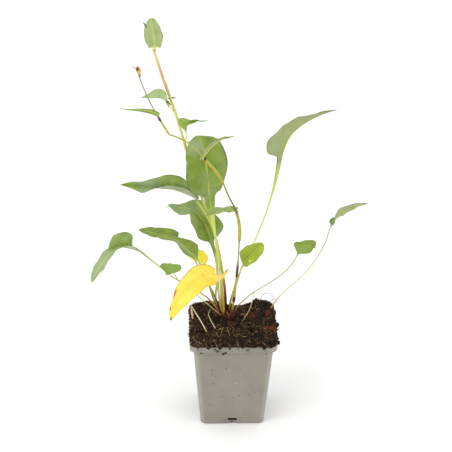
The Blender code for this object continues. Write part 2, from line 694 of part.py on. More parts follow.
# Each stem: points from the foot up, and its radius at shares of its length,
# swollen where the joints are
TALL_STEM = [(-7, 9, 110), (-8, 9, 136), (-11, 9, 158), (-17, 11, 190), (-25, 14, 218), (-33, 18, 238),
             (-48, 19, 288), (-57, 20, 321), (-72, 22, 366), (-79, 22, 389)]
TALL_STEM_RADII = [(0.0, 1.4), (0.62, 1.3), (0.64, 1.6), (0.67, 1.4), (0.76, 1.4), (0.78, 1.6),
                   (0.82, 1.3), (0.86, 1.5), (1.0, 1.7)]
FLOWER_STEM = [(-1, 1, 110), (3, -6, 154), (5, -8, 190), (5, -9, 218), (2, -9, 232), (-6, -9, 249),
               (-13, -9, 266), (-30, -11, 290), (-42, -13, 304), (-61, -15.5, 315.7), (-64.5, -16, 317.2),
               (-66, -16.4, 319.8), (-74, -18, 334), (-86, -22, 360), (-92, -24, 377.5)]
FLOWER_STEM_RADII = [(0.0, 1.2), (0.06, 1.15), (0.07, 1.35), (0.085, 1.15), (0.16, 1.1), (0.21, 0.8),
                     (0.295, 0.8), (0.31, 1.4), (0.4, 1.35), (0.415, 0.9), (0.515, 0.8), (0.53, 1.45),
                     (0.62, 1.35), (0.635, 0.9), (0.77, 0.85), (0.79, 1.1), (0.855, 1.1), (0.87, 0.65),
                     (1.0, 0.6)]
FLOWER_BUD = [(-92, -24, 378), (-92.7, -24, 382.5), (-93.6, -24.6, 387)]
FLOWER_BUD_RADII = [(0.0, 0.6), (0.3, 1.2), (0.6, 2.1), (0.8, 2.0), (1.0, 0.6)]

# Each loose thin piece: its points and thickest radius
THIN_PIECES = {
    "straw_long": dict(path=[(-44, -8, 128), (-38, -14, 120), (-33, -20, 114), (-26, -27, 103)],
                       radius=0.7),
    "straw_short": dict(path=[(-43, 8, 116), (-42, 7, 110), (-41, 6, 103)], radius=0.9),
    "grass_blade": dict(path=[(-22, 0, 118), (-25, -4, 114), (-23, -9, 110), (-18, -18, 104),
                              (-17, -20, 102)], radius=0.7),
    "dry_thread": dict(path=[(21, -13, 143), (20, -10, 134), (17, -8, 121), (12, -6, 110), (8, -7, 103),
                             (6, -8, 101)], radius=0.55),
    "twig": dict(path=[(-45, 33, 104), (-35, 36, 106), (-24, 33, 108), (-15, 28, 111)],
                 radius=0.7, colour=TWIG_BROWN),
}

# Each chip: its centre, length, width, thickness, turn, slope along it and tilt across it
CHIPS = {
    "bark_chip_middle": dict(centre=(20, 10, 105), size=(13, 9, 1.8), turn=5, slope=0, tilt=40),
    "bark_chip_right": dict(centre=(39, -15, 102.5), size=(17, 5, 1.8), turn=8, slope=14, tilt=25),
    "bark_chip_back": dict(centre=(38, 14, 105), size=(10, 7, 1.8), turn=70, slope=0, tilt=50),
}


def radius_along(marks):
    """A function of the share of the length that reads (share, radius) marks."""
    def radius_at(t):
        for (t0, r0), (t1, r1) in zip(marks, marks[1:]):
            if t <= t1:
                return r0 + (r1 - r0) * (t - t0) / (t1 - t0)
        return marks[-1][1]

    return radius_at


def make_stem(name, points, marks, steps, colour, sides=8):
    shape = bmesh.new()
    tube(shape, Path(points), radius_along(marks), steps, sides)
    return finish(make_object(name, shape), colour)


def make_thin(name, path, radius, colour=STRAW_CREAM):
    """A loose stalk or thread, thinner at its first end."""
    marks = [(0.0, radius / 2), (THIN_POINT, radius), (1.0, radius)]
    return make_stem(name, path, marks, THIN_STEPS, colour, THIN_SIDES)


def make_chip(name, centre, size, turn, slope, tilt):
    """A flat many-sided flake of bark."""
    shape = bmesh.new()
    angles = [math.radians(angle) for angle in (tilt, slope, turn)]
    turning = Euler(angles).to_matrix()
    rings = []
    for level in (-0.5, 0.5):
        rings.append([])
        for side in range(CHIP_SIDES):
            angle = 2 * math.pi * side / CHIP_SIDES
            reach = 0.5 + CHIP_UNEVEN * math.sin(CHIP_WAVE * side + turn)
            x = size[0] * reach * math.cos(angle)
            y = size[1] * reach * math.sin(angle)
            spot = turning @ Vector((x, y, level * size[2]))
            rings[-1].append(shape.verts.new(Vector(centre) + spot))
    bridge(shape, rings)
    shape.faces.new(rings[0][::-1])
    shape.faces.new(rings[1])
    return finish(make_object(name, shape), BARK_RED, 0.8)


def main():
    clear_scene()
    make_pot()
    soil = make_soil()
    crown = make_crown()
    crown_room = clearance(crown)
    cut(soil, crown_room)
    tall = make_stem("tall_stem", TALL_STEM, TALL_STEM_RADII, TALL_STEM_STEPS, STEM_GREEN)
    flower = make_stem("flower_stem", FLOWER_STEM, FLOWER_STEM_RADII, FLOWER_STEM_STEPS, STEM_GREEN)
    make_stem("flower_bud", FLOWER_BUD, FLOWER_BUD_RADII, BUD_STEPS, BUD_BROWN)
    cut(tall, crown_room)
    cut(flower, crown_room)
    for name, leaf in CROWN_LEAVES.items():
        cut(make_leaf(name, leaf), crown_room)
    for name, leaf in SOIL_LEAVES.items():
        cut(soil, clearance(make_leaf(name, leaf)))
    tall_room = clearance(tall)
    for name, leaf in TALL_STEM_LEAVES.items():
        cut(make_leaf(name, leaf), tall_room)
    flower_room = clearance(flower)
    for name, leaf in FLOWER_STEM_LEAVES.items():
        cut(make_leaf(name, leaf), flower_room)
    for name, piece in THIN_PIECES.items():
        cut(soil, clearance(make_thin(name, **piece)))
    for name, chip in CHIPS.items():
        cut(soil, clearance(make_chip(name, **chip)))


main()
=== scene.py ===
import math

import bmesh
import bpy
from mathutils import Euler, Matrix, Vector, noise


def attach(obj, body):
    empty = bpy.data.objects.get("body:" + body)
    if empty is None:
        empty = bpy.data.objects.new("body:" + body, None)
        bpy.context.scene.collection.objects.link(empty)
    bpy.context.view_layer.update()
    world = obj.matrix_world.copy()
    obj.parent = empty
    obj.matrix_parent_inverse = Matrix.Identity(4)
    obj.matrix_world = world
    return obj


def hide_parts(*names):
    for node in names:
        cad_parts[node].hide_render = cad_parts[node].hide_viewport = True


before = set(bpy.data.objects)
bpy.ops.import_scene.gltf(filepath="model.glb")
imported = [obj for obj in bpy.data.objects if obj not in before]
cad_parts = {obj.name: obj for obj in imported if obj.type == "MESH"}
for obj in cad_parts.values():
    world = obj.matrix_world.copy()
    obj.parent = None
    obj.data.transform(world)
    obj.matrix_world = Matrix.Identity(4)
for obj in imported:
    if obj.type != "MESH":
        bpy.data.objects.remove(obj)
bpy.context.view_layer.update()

# View and studio
# The plant is seen a little from above and almost square on. It stands on a plain white floor
# under one large soft lamp from the upper left, a weaker one from the right and an even white sky.
MM = 0.001
VIEW_ELEVATION = math.radians(24.6)
VIEW_AZIMUTH = math.radians(-1.93)
VIEW_ROLL = math.radians(0.69)
VIEW_TARGET = Vector((-7.9, 0.0, 212.2)) * MM
VIEW_DISTANCE = 1.5
LENS = 118.5
SENSOR_WIDTH = 36.0
LAMPS = (("key_lamp", (-1.5, -1.2, 1.7), 2.0, 17.0), ("fill_lamp", (1.5, -0.9, 1.0), 1.2, 3.0))
LAMP_AIM = Vector((0.0, 0.0, 0.15))
SKY_STRENGTH = 1.03
FLOOR_WHITE = "#FBFBFB"
FLOOR_HALF = 6.0
FLOOR_DROP = 0.0005
PLAIN_IOR = 1.46


def linear(text):
    """An sRGB hex colour as linear light, fully opaque."""
    values = [int(text[i:i + 2], 16) / 255 for i in (1, 3, 5)]
    return tuple(v / 12.92 if v <= 0.04045 else ((v + 0.055) / 1.055) ** 2.4 for v in values) + (1.0,)


def result(node):
    """The first output that a node uses."""
    return next(socket for socket in node.outputs if socket.enabled)


def add(tree, kind, inputs=None, ramp=(), **settings):
    """Add a node with its settings, its values, links or nodes to take in, and its ramp's stops."""
    node = tree.nodes.new(kind if "Node" in kind else "ShaderNode" + kind)
    for key, value in settings.items():
        setattr(node, key, value)
    for key, value in (inputs or {}).items():
        if isinstance(value, bpy.types.Node):
            value = result(value)
        if isinstance(value, bpy.types.NodeSocket):
            tree.links.new(value, node.inputs[key])
        elif isinstance(value, str) and value.startswith("#"):
            node.inputs[key].default_value = linear(value)
        else:
            node.inputs[key].default_value = value
    for i, (place, colour) in enumerate(ramp):
        stops = node.color_ramp.elements
        stop = stops[i] if i < 2 else stops.new(place)
        stop.position = place
        stop.color = linear(colour) if isinstance(colour, str) else (colour, colour, colour, 1.0)
    return node


def surface(name, roughness, ior=PLAIN_IOR):
    """A new material; returns it with its node tree and its shader."""
    material = bpy.data.materials.new(name)
    material.use_nodes = True
    tree = material.node_tree
    shader = tree.nodes["Principled BSDF"]
    shader.inputs["Roughness"].default_value = roughness
    shader.inputs["IOR"].default_value = ior
    return material, tree, shader


def coat(tree, shader, colour, height=None, strength=0.0, depth=0.0):
    """Give a surface its colour and, where a height is given, a relief of some depth in millimetres."""
    tree.links.new(result(colour), shader.inputs["Base Color"])
    if height:
        relief = add(tree, "Bump", {"Height": height, "Strength": strength, "Distance": depth * MM})
        tree.links.new(result(relief), shader.inputs["Normal"])


camera = bpy.data.cameras.new("camera")
camera.lens = LENS
camera.sensor_width = SENSOR_WIDTH
camera_object = bpy.data.objects.new("camera", camera)
back = Vector((math.sin(VIEW_AZIMUTH) * math.cos(VIEW_ELEVATION),
               -math.cos(VIEW_AZIMUTH) * math.cos(VIEW_ELEVATION), math.sin(VIEW_ELEVATION)))
aim = (-back).to_track_quat("-Z", "Y").to_matrix() @ Matrix.Rotation(VIEW_ROLL, 3, "Z")
camera_object.matrix_world = Matrix.Translation(VIEW_TARGET + back * VIEW_DISTANCE) @ aim.to_4x4()
bpy.context.scene.collection.objects.link(camera_object)
bpy.context.scene.camera = camera_object
bpy.context.scene.view_settings.view_transform = "Standard"

for name, place, size, power in LAMPS:
    lamp = bpy.data.lights.new(name, "AREA")
    lamp.shape = "DISK"
    lamp.size = size
    lamp.energy = power
    lamp_object = bpy.data.objects.new(name, lamp)
    lamp_object.location = place
    lamp_object.rotation_euler = (LAMP_AIM - Vector(place)).to_track_quat("-Z", "Y").to_euler()
    bpy.context.scene.collection.objects.link(lamp_object)

world = bpy.data.worlds.new("sky")
world.use_nodes = True
sky = world.node_tree.nodes["Background"].inputs
sky["Color"].default_value = linear("#FFFFFF")
sky["Strength"].default_value = SKY_STRENGTH
bpy.context.scene.world = world

floor_mesh = bpy.data.meshes.new("floor")
corners = [(x * FLOOR_HALF, y * FLOOR_HALF, -FLOOR_DROP) for x, y in ((-1, -1), (1, -1), (1, 1), (-1, 1))]
floor_mesh.from_pydata(corners, [], [(0, 1, 2, 3)])
floor = bpy.data.objects.new("floor", floor_mesh)
bpy.context.scene.collection.objects.link(floor)

# Matt white paper: it takes a faint soft shadow and gives no gloss.
floor_finish, tree, shader = surface("white_paper_floor", 0.9)
shader.inputs["Base Color"].default_value = linear(FLOOR_WHITE)
shader.inputs["Specular IOR Level"].default_value = 0.1
floor_mesh.materials.append(floor_finish)


# Nursery pot
# One injection-moulded piece of recycled grey polypropylene, matt, with a plain upper band
# and a drainage notch at the foot of each side. Peat dust and small specks of dirt cling to it.
POT_HEIGHT = 97.0
RIM_WIDTH = 90.0
RIM_RADIUS = 9.0
RIM_BAND = 6.5
BODY_TOP_WIDTH = 82.0
BODY_RADIUS = 6.5
BASE_WIDTH = 66.0
BASE_RADIUS = 5.5
WALL = 1.2
POT_FLOOR = 1.6
UNDERSIDE_LIP = 4.0
BAND_DRAFT = 0.2
EDGE_ROUNDING = (0.7, 0.5, 0.6, 0.5, 0.4, 0.4, 0.5, 0.6)
CORNER_STEPS = 14
ROUNDING_STEPS = 3
SHARP_EDGE = math.radians(38)
PANEL_HALF = 8.0
PANEL_HEIGHT = 7.0
PANEL_DEPTH = 0.5
PANEL_DRAFT = 0.6
SLOT_HALF = 4.7
SLOT_LOW = 3.6
SLOT_HIGH = 6.2
FOOT_CUT_HALF = 7.42
FOOT_CUT_TOP_HALF = 0.6
FOOT_CUT_HEIGHT = 3.0
FOOT_CUT_DEPTH = 8.0
CUTTER_BELOW = -1.0
CUTTER_OUTSIDE = 5.0
POT_SPECKS = (
    (-21.5, -38.9, 66.7, 1.3, "#7A6A5A"), (-3.4, -38.5, 62.4, 1.2, "#A08A7C"),
    (-3.5, -38.8, 66.0, 1.1, "#A4948A"), (-21.0, -38.1, 57.9, 1.2, "#A08C80"),
    (-20.0, -37.5, 51.0, 1.1, "#5F5446"), (2.6, -37.5, 50.8, 1.4, "#A8A298"),
    (17.5, -36.3, 37.2, 1.5, "#8E7460"), (6.8, -36.1, 35.0, 1.0, "#54504A"),
    (-11.1, -36.0, 34.0, 1.4, "#7E6E60"), (0.5, -35.9, 33.2, 1.1, "#75685C"),
    (-27.0, -38.6, 84.5, 1.0, "#6A5848"), (-14.5, -36.4, 42.0, 0.9, "#97887C"),
)
RIM_CRUMBS = (
    (-33.2, 90.8, 0.7), (-11.0, 89.3, 0.7), (-16.4, 93.4, 0.9), (-4.3, 96.0, 1.0), (14.1, 94.7, 0.8),
    (-26.2, 96.1, 1.0), (-22.2, 98.6, 1.3), (-36.3, 96.8, 0.7), (4.2, 95.6, 0.6), (-8.0, 91.2, 0.9),
    (-10.2, 90.2, 0.8), (30.0, 96.9, 0.6), (22.0, 97.2, 0.7), (-13.8, 96.4, 1.2), (-19.0, 95.2, 0.7),
    (9.0, 97.0, 0.8), (37.0, 97.0, 0.7),
)


def per(size):
    """The scale of a pattern whose features are so many millimetres across."""
    return 1.0 / (size * MM)


def spotted(tree, place, colour, spots):
    """A colour with soft-edged spots laid over it, each given in millimetres with its own tone."""
    for x, y, z, radius, tone in spots:
        away = add(tree, "VectorMath", {0: place, 1: (x * MM, y * MM, z * MM)}, operation="DISTANCE")
        share = add(tree, "MapRange", {0: away, 1: radius * MM, 2: radius * 0.4 * MM})
        colour = add(tree, "Mix", {0: share, 6: colour, 7: tone}, data_type="RGBA")
    return colour


def rounded_square(half, radius, z):
    """Points of a square with rounded corners, anticlockwise from the +X side."""
    points = []
    for quarter in range(4):
        turn = Matrix.Rotation(quarter * math.pi / 2, 3, "Z")
        for step in range(CORNER_STEPS + 1):
            angle = math.pi / 2 * step / CORNER_STEPS
            corner = Vector((half - radius, half - radius, z))
            points.append(turn @ (corner + radius * Vector((math.cos(angle), math.sin(angle), 0.0))))
    return points


def softened(rows, reach):
    """A profile of (half width, corner radius, height) rows with its inner corners rounded."""
    rows = [Vector(row) for row in rows]
    made = [rows[0]]
    for before, row, after, room in zip(rows, rows[1:], rows[2:], reach):
        start = row + (before - row).normalized() * room
        end = row + (after - row).normalized() * room
        for i in range(ROUNDING_STEPS + 1):
            t = i / ROUNDING_STEPS
            made.append(start * (1 - t) ** 2 + row * 2 * t * (1 - t) + end * t ** 2)
    return made + [rows[-1]]


def bridge(shape, rings):
    """Join each ring of points to the next with a band of faces."""
    for low, high in zip(rings, rings[1:]):
        for i in range(len(low)):
            j = (i + 1) % len(low)
            shape.faces.new((low[i], low[j], high[j], high[i]))


def closed_skin(shape, rings):
    """Join rings of points with bands of faces and close both ends."""
    bridge(shape, rings)
    shape.faces.new(rings[0][::-1])
    shape.faces.new(rings[-1])


def finished(name, shape, materials, body="root"):
    """An object in metres from a bmesh in millimetres, with its materials, riding on its body."""
    bmesh.ops.scale(shape, vec=(MM, MM, MM), verts=shape.verts)
    mesh = bpy.data.meshes.new(name)
    shape.to_mesh(mesh)
    shape.free()
    for material in materials:
        mesh.materials.append(material)
    mesh.shade_smooth()
    made = bpy.data.objects.new(name, mesh)
    bpy.context.scene.collection.objects.link(made)
    if body:
        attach(made, body)
    return made


def settled(piece):
    """Turn a piece's evaluated shape into a plain mesh and drop its modifiers."""
    shown = piece.evaluated_get(bpy.context.evaluated_depsgraph_get())
    mesh = bpy.data.meshes.new_from_object(shown)
    piece.modifiers.clear()
    piece.data = mesh
    return piece


band_low = POT_HEIGHT - RIM_BAND
profile = softened([
    (BASE_WIDTH / 2 - UNDERSIDE_LIP, BASE_RADIUS - UNDERSIDE_LIP, 0.0),
    (BASE_WIDTH / 2, BASE_RADIUS, 0.0),
    (BODY_TOP_WIDTH / 2, BODY_RADIUS, band_low),
    (RIM_WIDTH / 2 - BAND_DRAFT, RIM_RADIUS, band_low),
    (RIM_WIDTH / 2, RIM_RADIUS, POT_HEIGHT),
    (RIM_WIDTH / 2 - WALL, RIM_RADIUS - WALL, POT_HEIGHT),
    (RIM_WIDTH / 2 - WALL, RIM_RADIUS - WALL, band_low + WALL),
    (BODY_TOP_WIDTH / 2 - WALL, BODY_RADIUS - WALL, band_low + WALL),
    (BASE_WIDTH / 2 - WALL, BASE_RADIUS - WALL, POT_FLOOR),
    (BASE_WIDTH / 2 - UNDERSIDE_LIP, BASE_RADIUS - UNDERSIDE_LIP, POT_FLOOR),
], EDGE_ROUNDING)
shape = bmesh.new()
closed_skin(shape, [[shape.verts.new(p) for p in rounded_square(*row)] for row in profile])
bmesh.ops.recalc_face_normals(shape, faces=shape.faces)
pot_shell = finished("pot_shell", shape, [], body=None)

half_base = BASE_WIDTH / 2
half_slope = (BODY_TOP_WIDTH - BASE_WIDTH) / 2 / band_low
panel_face = half_base + half_slope * PANEL_HEIGHT / 2 - PANEL_DEPTH
cuts = (
    ((PANEL_HALF, CUTTER_BELOW), (PANEL_HALF - PANEL_DRAFT, PANEL_HEIGHT), panel_face),
    ((SLOT_HALF, SLOT_LOW), (SLOT_HALF, SLOT_HIGH), half_base - 3 * WALL),
    ((FOOT_CUT_HALF, CUTTER_BELOW), (FOOT_CUT_TOP_HALF, FOOT_CUT_HEIGHT), half_base - FOOT_CUT_DEPTH),
)
cutters = []
for (low_half, low), (high_half, high), depth in cuts:
    outline = ((-low_half, low), (low_half, low), (high_half, high), (-high_half, high))
    shape = bmesh.new()
    for quarter in range(4):
        turn = Matrix.Rotation(quarter * math.pi / 2, 3, "Z")
        outer, inner = [[shape.verts.new(turn @ Vector((x, -y, z))) for x, z in outline]
                        for y in (half_base + CUTTER_OUTSIDE, depth)]
        shape.faces.new(outer)
        shape.faces.new(inner[::-1])
        for i in range(4):
            j = (i + 1) % 4
            shape.faces.new((outer[j], outer[i], inner[i], inner[j]))
    cutter = finished("pot_cutter_%d" % len(cutters), shape, [], body=None)
    cutter.hide_render = True
    cutter.display_type = "WIRE"
    cutters.append(cutter)
    trim = pot_shell.modifiers.new("cut", "BOOLEAN")
    trim.operation = "DIFFERENCE"
    trim.solver = "EXACT"
    trim.object = cutter
settled(pot_shell)
for cutter in cutters:
    bpy.data.objects.remove(cutter, do_unlink=True)
pot_shell.data.shade_smooth()
pot_shell.data.set_sharp_from_angle(angle=SHARP_EDGE)

# Recycled polypropylene, moulded: a dull even grey, with a painted highlight that makes the rounded
# corners paler where the light catches them, a brownish film of peat dust near the rim and dirt specks.
# The grain of the real mould is finer than this one.
grey_plastic, tree, shader = surface("moulded_grey_polypropylene", 0.46)
place = add(tree, "TexCoord").outputs["Object"]
height = add(tree, "SeparateXYZ", {0: place}).outputs["Z"]
mottle = add(tree, "TexNoise", {"Vector": place, "Scale": per(26.3), "Detail": 6.0, "Roughness": 0.6})
grey = add(tree, "ValToRGB", {0: mottle}, ramp=((0.3, "#827E74"), (0.7, "#8F8B81")))
warm = add(tree, "TexNoise", {"Vector": place, "Scale": per(13.3), "Detail": 3.0})
warm_share = add(tree, "MapRange", {0: warm, 1: 0.58, 2: 0.75, 3: 0.0, 4: 0.35})
stained_and_corner_lit = add(tree, "Mix", {0: warm_share, 6: grey, 7: "#8F7C6E"}, data_type="RGBA")
# Painted highlight: where the surface faces half sideways on the rounded corners, the grey is made paler, as
# if light caught it.
facing = add(tree, "SeparateXYZ", {0: add(tree, "NewGeometry").outputs["Normal"]})
turned = add(tree, "Math", {0: facing.outputs["X"], 1: facing.outputs["Y"]}, operation="MULTIPLY")
corner = add(tree, "Math", {0: turned}, operation="ABSOLUTE")
painted_corner_highlight = add(tree, "MapRange", {0: corner, 1: 0.05, 2: 0.4, 3: 0.0, 4: 0.5})
stained_and_corner_lit = add(tree, "Mix", {0: painted_corner_highlight, 6: stained_and_corner_lit, 7: "#A3A094"}, data_type="RGBA")
specks = add(tree, "TexVoronoi", {"Vector": place, "Scale": per(3.85)})
patch = add(tree, "TexNoise", {"Vector": place, "Scale": per(16.7), "Detail": 2.0})
room = add(tree, "MapRange", {0: patch, 1: 0.52, 2: 0.75, 3: 0.0, 4: 0.34})
near_rim = add(tree, "MapRange", {0: height, 1: 0.080, 2: 0.0965, 3: 0.0, 4: 0.2})
wider = add(tree, "Math", {0: room, 1: near_rim}, operation="ADD")
speck = add(tree, "Math", {0: specks, 1: wider}, operation="LESS_THAN")
speck_share = add(tree, "Math", {0: speck, 1: 0.6}, operation="MULTIPLY")
dirty = add(tree, "Mix", {0: speck_share, 6: stained_and_corner_lit, 7: "#4A3828"}, data_type="RGBA")
dust = add(tree, "TexNoise", {"Vector": place, "Scale": per(6.67), "Detail": 8.0, "Roughness": 0.7})
dust_low = add(tree, "MapRange", {0: height, 1: 0.088, 2: 0.097, 3: 0.0, 4: 0.16})
dust_sum = add(tree, "Math", {0: dust, 1: dust_low}, operation="ADD")
dust_share = add(tree, "MapRange", {0: dust_sum, 1: 0.63, 2: 0.74, 3: 0.0, 4: 0.55})
coloured = add(tree, "Mix", {0: dust_share, 6: dirty, 7: "#665544"}, data_type="RGBA")
speckled = spotted(tree, place, coloured, POT_SPECKS)
grain = add(tree, "TexNoise", {"Vector": place, "Scale": per(1.11), "Detail": 3.0})
coat(tree, shader, speckled, grain, 0.12, 0.3)
pot_shell.data.materials.append(grey_plastic)
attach(pot_shell, "root")
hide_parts("pot")


# Peat
# Dark fibrous peat fills the pot and is heaped over its whole rim. It is pressed together by
# hand, so its top is lumpy, its edge ragged, and crumbs, roots and fibres lie loose all over it,
# with a few crumbs stuck to the outside of the rim.
GAP = 0.35
SOIL_SIDES = 288
SOIL_LEVEL = 104.0
SOIL_EDGE_DROP = 1.6
SOIL_LUMP = 1.3
SOIL_LUMP_SIZE = 8.0
SOIL_RAGGED = 1.1
SOIL_DRAWN_IN = 0.45
SOIL_RIGHT_BULGE = 0.9
SOIL_HUMPS = ((27, 38, 5, 7), (39, 34, 3.5, 7), (-24, 38, 3, 9), (-36, -8, 1, 9), (-7, 3, 1, 14),
              (6, 46, -4, 15), (46, -14, -3.5, 10))
SHOULDER = 0.87
SHOULDER_SHARPNESS = 4.2
INNERMOST = 0.01
EDGE_ROWS = 14
EDGE_CROWDING = 1.4
TOP_ROWS = 76
CRUMBLE = 1.1
COARSE_CRUMB = 3.1
FINE_CRUMB = 1.3
FINE_SHARE = 0.7
EDGE_CRUMBLE = 0.3
EDGE_FADE = 60
PER_SQUARE_METRE = 1000000.0
SLIMMEST = (0.65, 0.65, 0.5)
STOUTEST = (1.3, 1.2, 1.0)
RIM_CRUMB_TONES = (0.35, 0.65)
RIM_CRUMB_ROUGHNESS = 1.1
RIM_CRUMB_FLATNESS = 0.3


def soil_height(x, y):
    """Level of the peat above the pot's underside."""
    reach = max(abs(x), abs(y)) / (RIM_WIDTH / 2)
    level = SOIL_LEVEL - SOIL_EDGE_DROP * reach ** 6
    for hump_x, hump_y, rise, spread in SOIL_HUMPS:
        away = math.hypot(x - hump_x, y - hump_y) / spread
        level += rise * math.exp(-away ** 2)
    return level + SOIL_LUMP * noise.noise(Vector((x, y, 0.0)) / SOIL_LUMP_SIZE)


def square_reach(half, radius, angle):
    """Distance from the centre to a rounded square's edge in one direction."""
    across, along = abs(math.cos(angle)), abs(math.sin(angle))
    reach = half / max(across, along)
    inner = half - radius
    if min(reach * across, reach * along) > inner:
        middle = inner * (across + along)
        reach = middle + math.sqrt(middle ** 2 - 2 * inner ** 2 + radius ** 2)
    return reach


def soil_reach(angle):
    """Distance from the centre to the ragged edge of the heap."""
    reach = square_reach(RIM_WIDTH / 2, RIM_RADIUS, angle)
    spot = Vector((math.cos(angle), math.sin(angle), 0.0)) * reach / SOIL_LUMP_SIZE
    bulge = SOIL_RIGHT_BULGE * max(0.0, math.cos(angle))
    return reach + bulge + SOIL_RAGGED * noise.noise(spot) - SOIL_DRAWN_IN


def soil_point(angle, share):
    """A point on the heap, from its edge at share 1 to the middle at 0, with its crumbs."""
    reach = share * soil_reach(angle)
    x, y = reach * math.cos(angle), reach * math.sin(angle)
    rise = 1.0 - max(0.0, (share - SHOULDER) / (1.0 - SHOULDER)) ** SHOULDER_SHARPNESS
    z = POT_HEIGHT + GAP + rise * (soil_height(x, y) - POT_HEIGHT - GAP)
    spot = Vector((x, y, z))
    rough = noise.noise(spot / COARSE_CRUMB) + FINE_SHARE * noise.noise(spot / FINE_CRUMB)
    sideways = share ** 8
    out = Vector((math.cos(angle) * sideways, math.sin(angle) * sideways, 1.0 - sideways))
    return spot + out * CRUMBLE * rough * min(1.0, (1.0 - share) * EDGE_FADE + EDGE_CRUMBLE)


shape = bmesh.new()
angles = [2 * math.pi * (i + 0.5) / SOIL_SIDES for i in range(SOIL_SIDES)]
step_level = band_low + WALL + GAP
rings = []
for half, radius, z in ((BASE_WIDTH / 2 - WALL - GAP, BASE_RADIUS - WALL, POT_FLOOR + GAP),
                        (BODY_TOP_WIDTH / 2 - WALL - GAP, BODY_RADIUS - WALL, step_level),
                        (RIM_WIDTH / 2 - WALL - GAP, RIM_RADIUS - WALL, step_level),
                        (RIM_WIDTH / 2 - WALL - GAP, RIM_RADIUS - WALL, POT_HEIGHT + GAP)):
    rings.append([])
    for angle in angles:
        reach = square_reach(half, radius, angle)
        rings[-1].append(shape.verts.new((reach * math.cos(angle), reach * math.sin(angle), z)))
heap_start = len(rings)
shares = [1.0 - (1.0 - SHOULDER) * (i / EDGE_ROWS) ** EDGE_CROWDING for i in range(EDGE_ROWS + 1)]
shares += [SHOULDER - (SHOULDER - INNERMOST) * i / TOP_ROWS for i in range(1, TOP_ROWS + 1)]
for share in shares:
    rings.append([shape.verts.new(soil_point(angle, share)) for angle in angles])
bridge(shape, rings)
shape.faces.new(rings[0][::-1])
top = shape.verts.new(soil_point(0.0, 0.0))
for i in range(SOIL_SIDES):
    shape.faces.new((rings[-1][i], rings[-1][(i + 1) % SOIL_SIDES], top))
shape.verts.index_update()
heap_first = rings[heap_start][0].index

# Damp peat, torn and pressed: nearly black in its hollows and warm brown where dry fibres show,
# with hardly any shine. The real crumbs are finer than this pattern. Loose bits take their tone
# from the shade stored on each of them.
peat_dark, tree, shader = surface("damp_fibrous_peat", 0.93)
shader.inputs["Specular IOR Level"].default_value = 0.25
place = add(tree, "TexCoord").outputs["Object"]
clumps = add(tree, "TexNoise", {"Vector": place, "Scale": per(4.55), "Detail": 8.0, "Roughness": 0.72})
brown = add(tree, "ValToRGB", {0: clumps},
            ramp=((0.34, "#0C0906"), (0.54, "#1E1610"), (0.68, "#35261A"), (0.8, "#4F3A28")))
shade = add(tree, "Attribute", attribute_name="shade")
tint = add(tree, "ValToRGB", {0: shade.outputs["Fac"]},
           ramp=((0.0, "#0F0B08"), (0.3, "#21170F"), (0.55, "#3C2A1C"), (0.75, "#5A4028"), (0.9, "#7C5E3E"),
                 (1.0, "#B89E76")))
loose = add(tree, "Attribute", attribute_name="loose")
mixed = add(tree, "Mix", {0: loose.outputs["Fac"], 6: brown, 7: tint}, data_type="RGBA")
coat(tree, shader, mixed, clumps, 0.9, 1.2)

peat_heap = finished("peat_heap", shape, [peat_dark])
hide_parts("soil")
cover = bmesh.new()
cover.from_mesh(peat_heap.data)
cover.verts.ensure_lookup_table()
buried = [vert for vert in cover.verts if vert.index < heap_first]
bmesh.ops.delete(cover, geom=buried, context="VERTS")


def crumpled(tree, solid, coarseness, detail, push):
    """A unit solid with its points pushed in and out unevenly."""
    lumps = add(tree, "TexNoise", {"Scale": coarseness, "Detail": detail}, noise_dimensions="3D")
    centred = add(tree, "VectorMath", {0: lumps.outputs["Color"], 1: (0.5, 0.5, 0.5)}, operation="SUBTRACT")
    moved = add(tree, "VectorMath", {0: centred, 3: push}, operation="SCALE")
    return add(tree, "GeometryNodeSetPosition", {"Geometry": solid, "Offset": moved})


def crumb_shape(tree, fineness):
    """A small lump."""
    ball = add(tree, "GeometryNodeMeshIcoSphere", {"Radius": 1.0, "Subdivisions": fineness})
    return crumpled(tree, ball, 1.6, 1.0, 1.9)


def fibre_shape(tree, bow):
    """A thin bent root, two units long, pointed at neither end."""
    line = add(tree, "GeometryNodeCurveQuadraticBezier",
               {"Resolution": 6, "Start": (-1.0, 0.0, 0.0), "Middle": (0.1, bow, bow * 0.5),
                "End": (1.0, 0.0, 0.1)})
    section = add(tree, "GeometryNodeCurvePrimitiveCircle", {"Resolution": 3, "Radius": 0.045})
    return add(tree, "GeometryNodeCurveToMesh", {"Curve": line, "Profile Curve": section, "Fill Caps": True})


def flake_shape(tree, slimness):
    """A flat splinter of bark or leaf."""
    slab = add(tree, "GeometryNodeMeshCube", {"Size": (2.0, slimness, 0.22), "Vertices X": 3})
    return crumpled(tree, slab, 1.1, 0.0, 1.1)


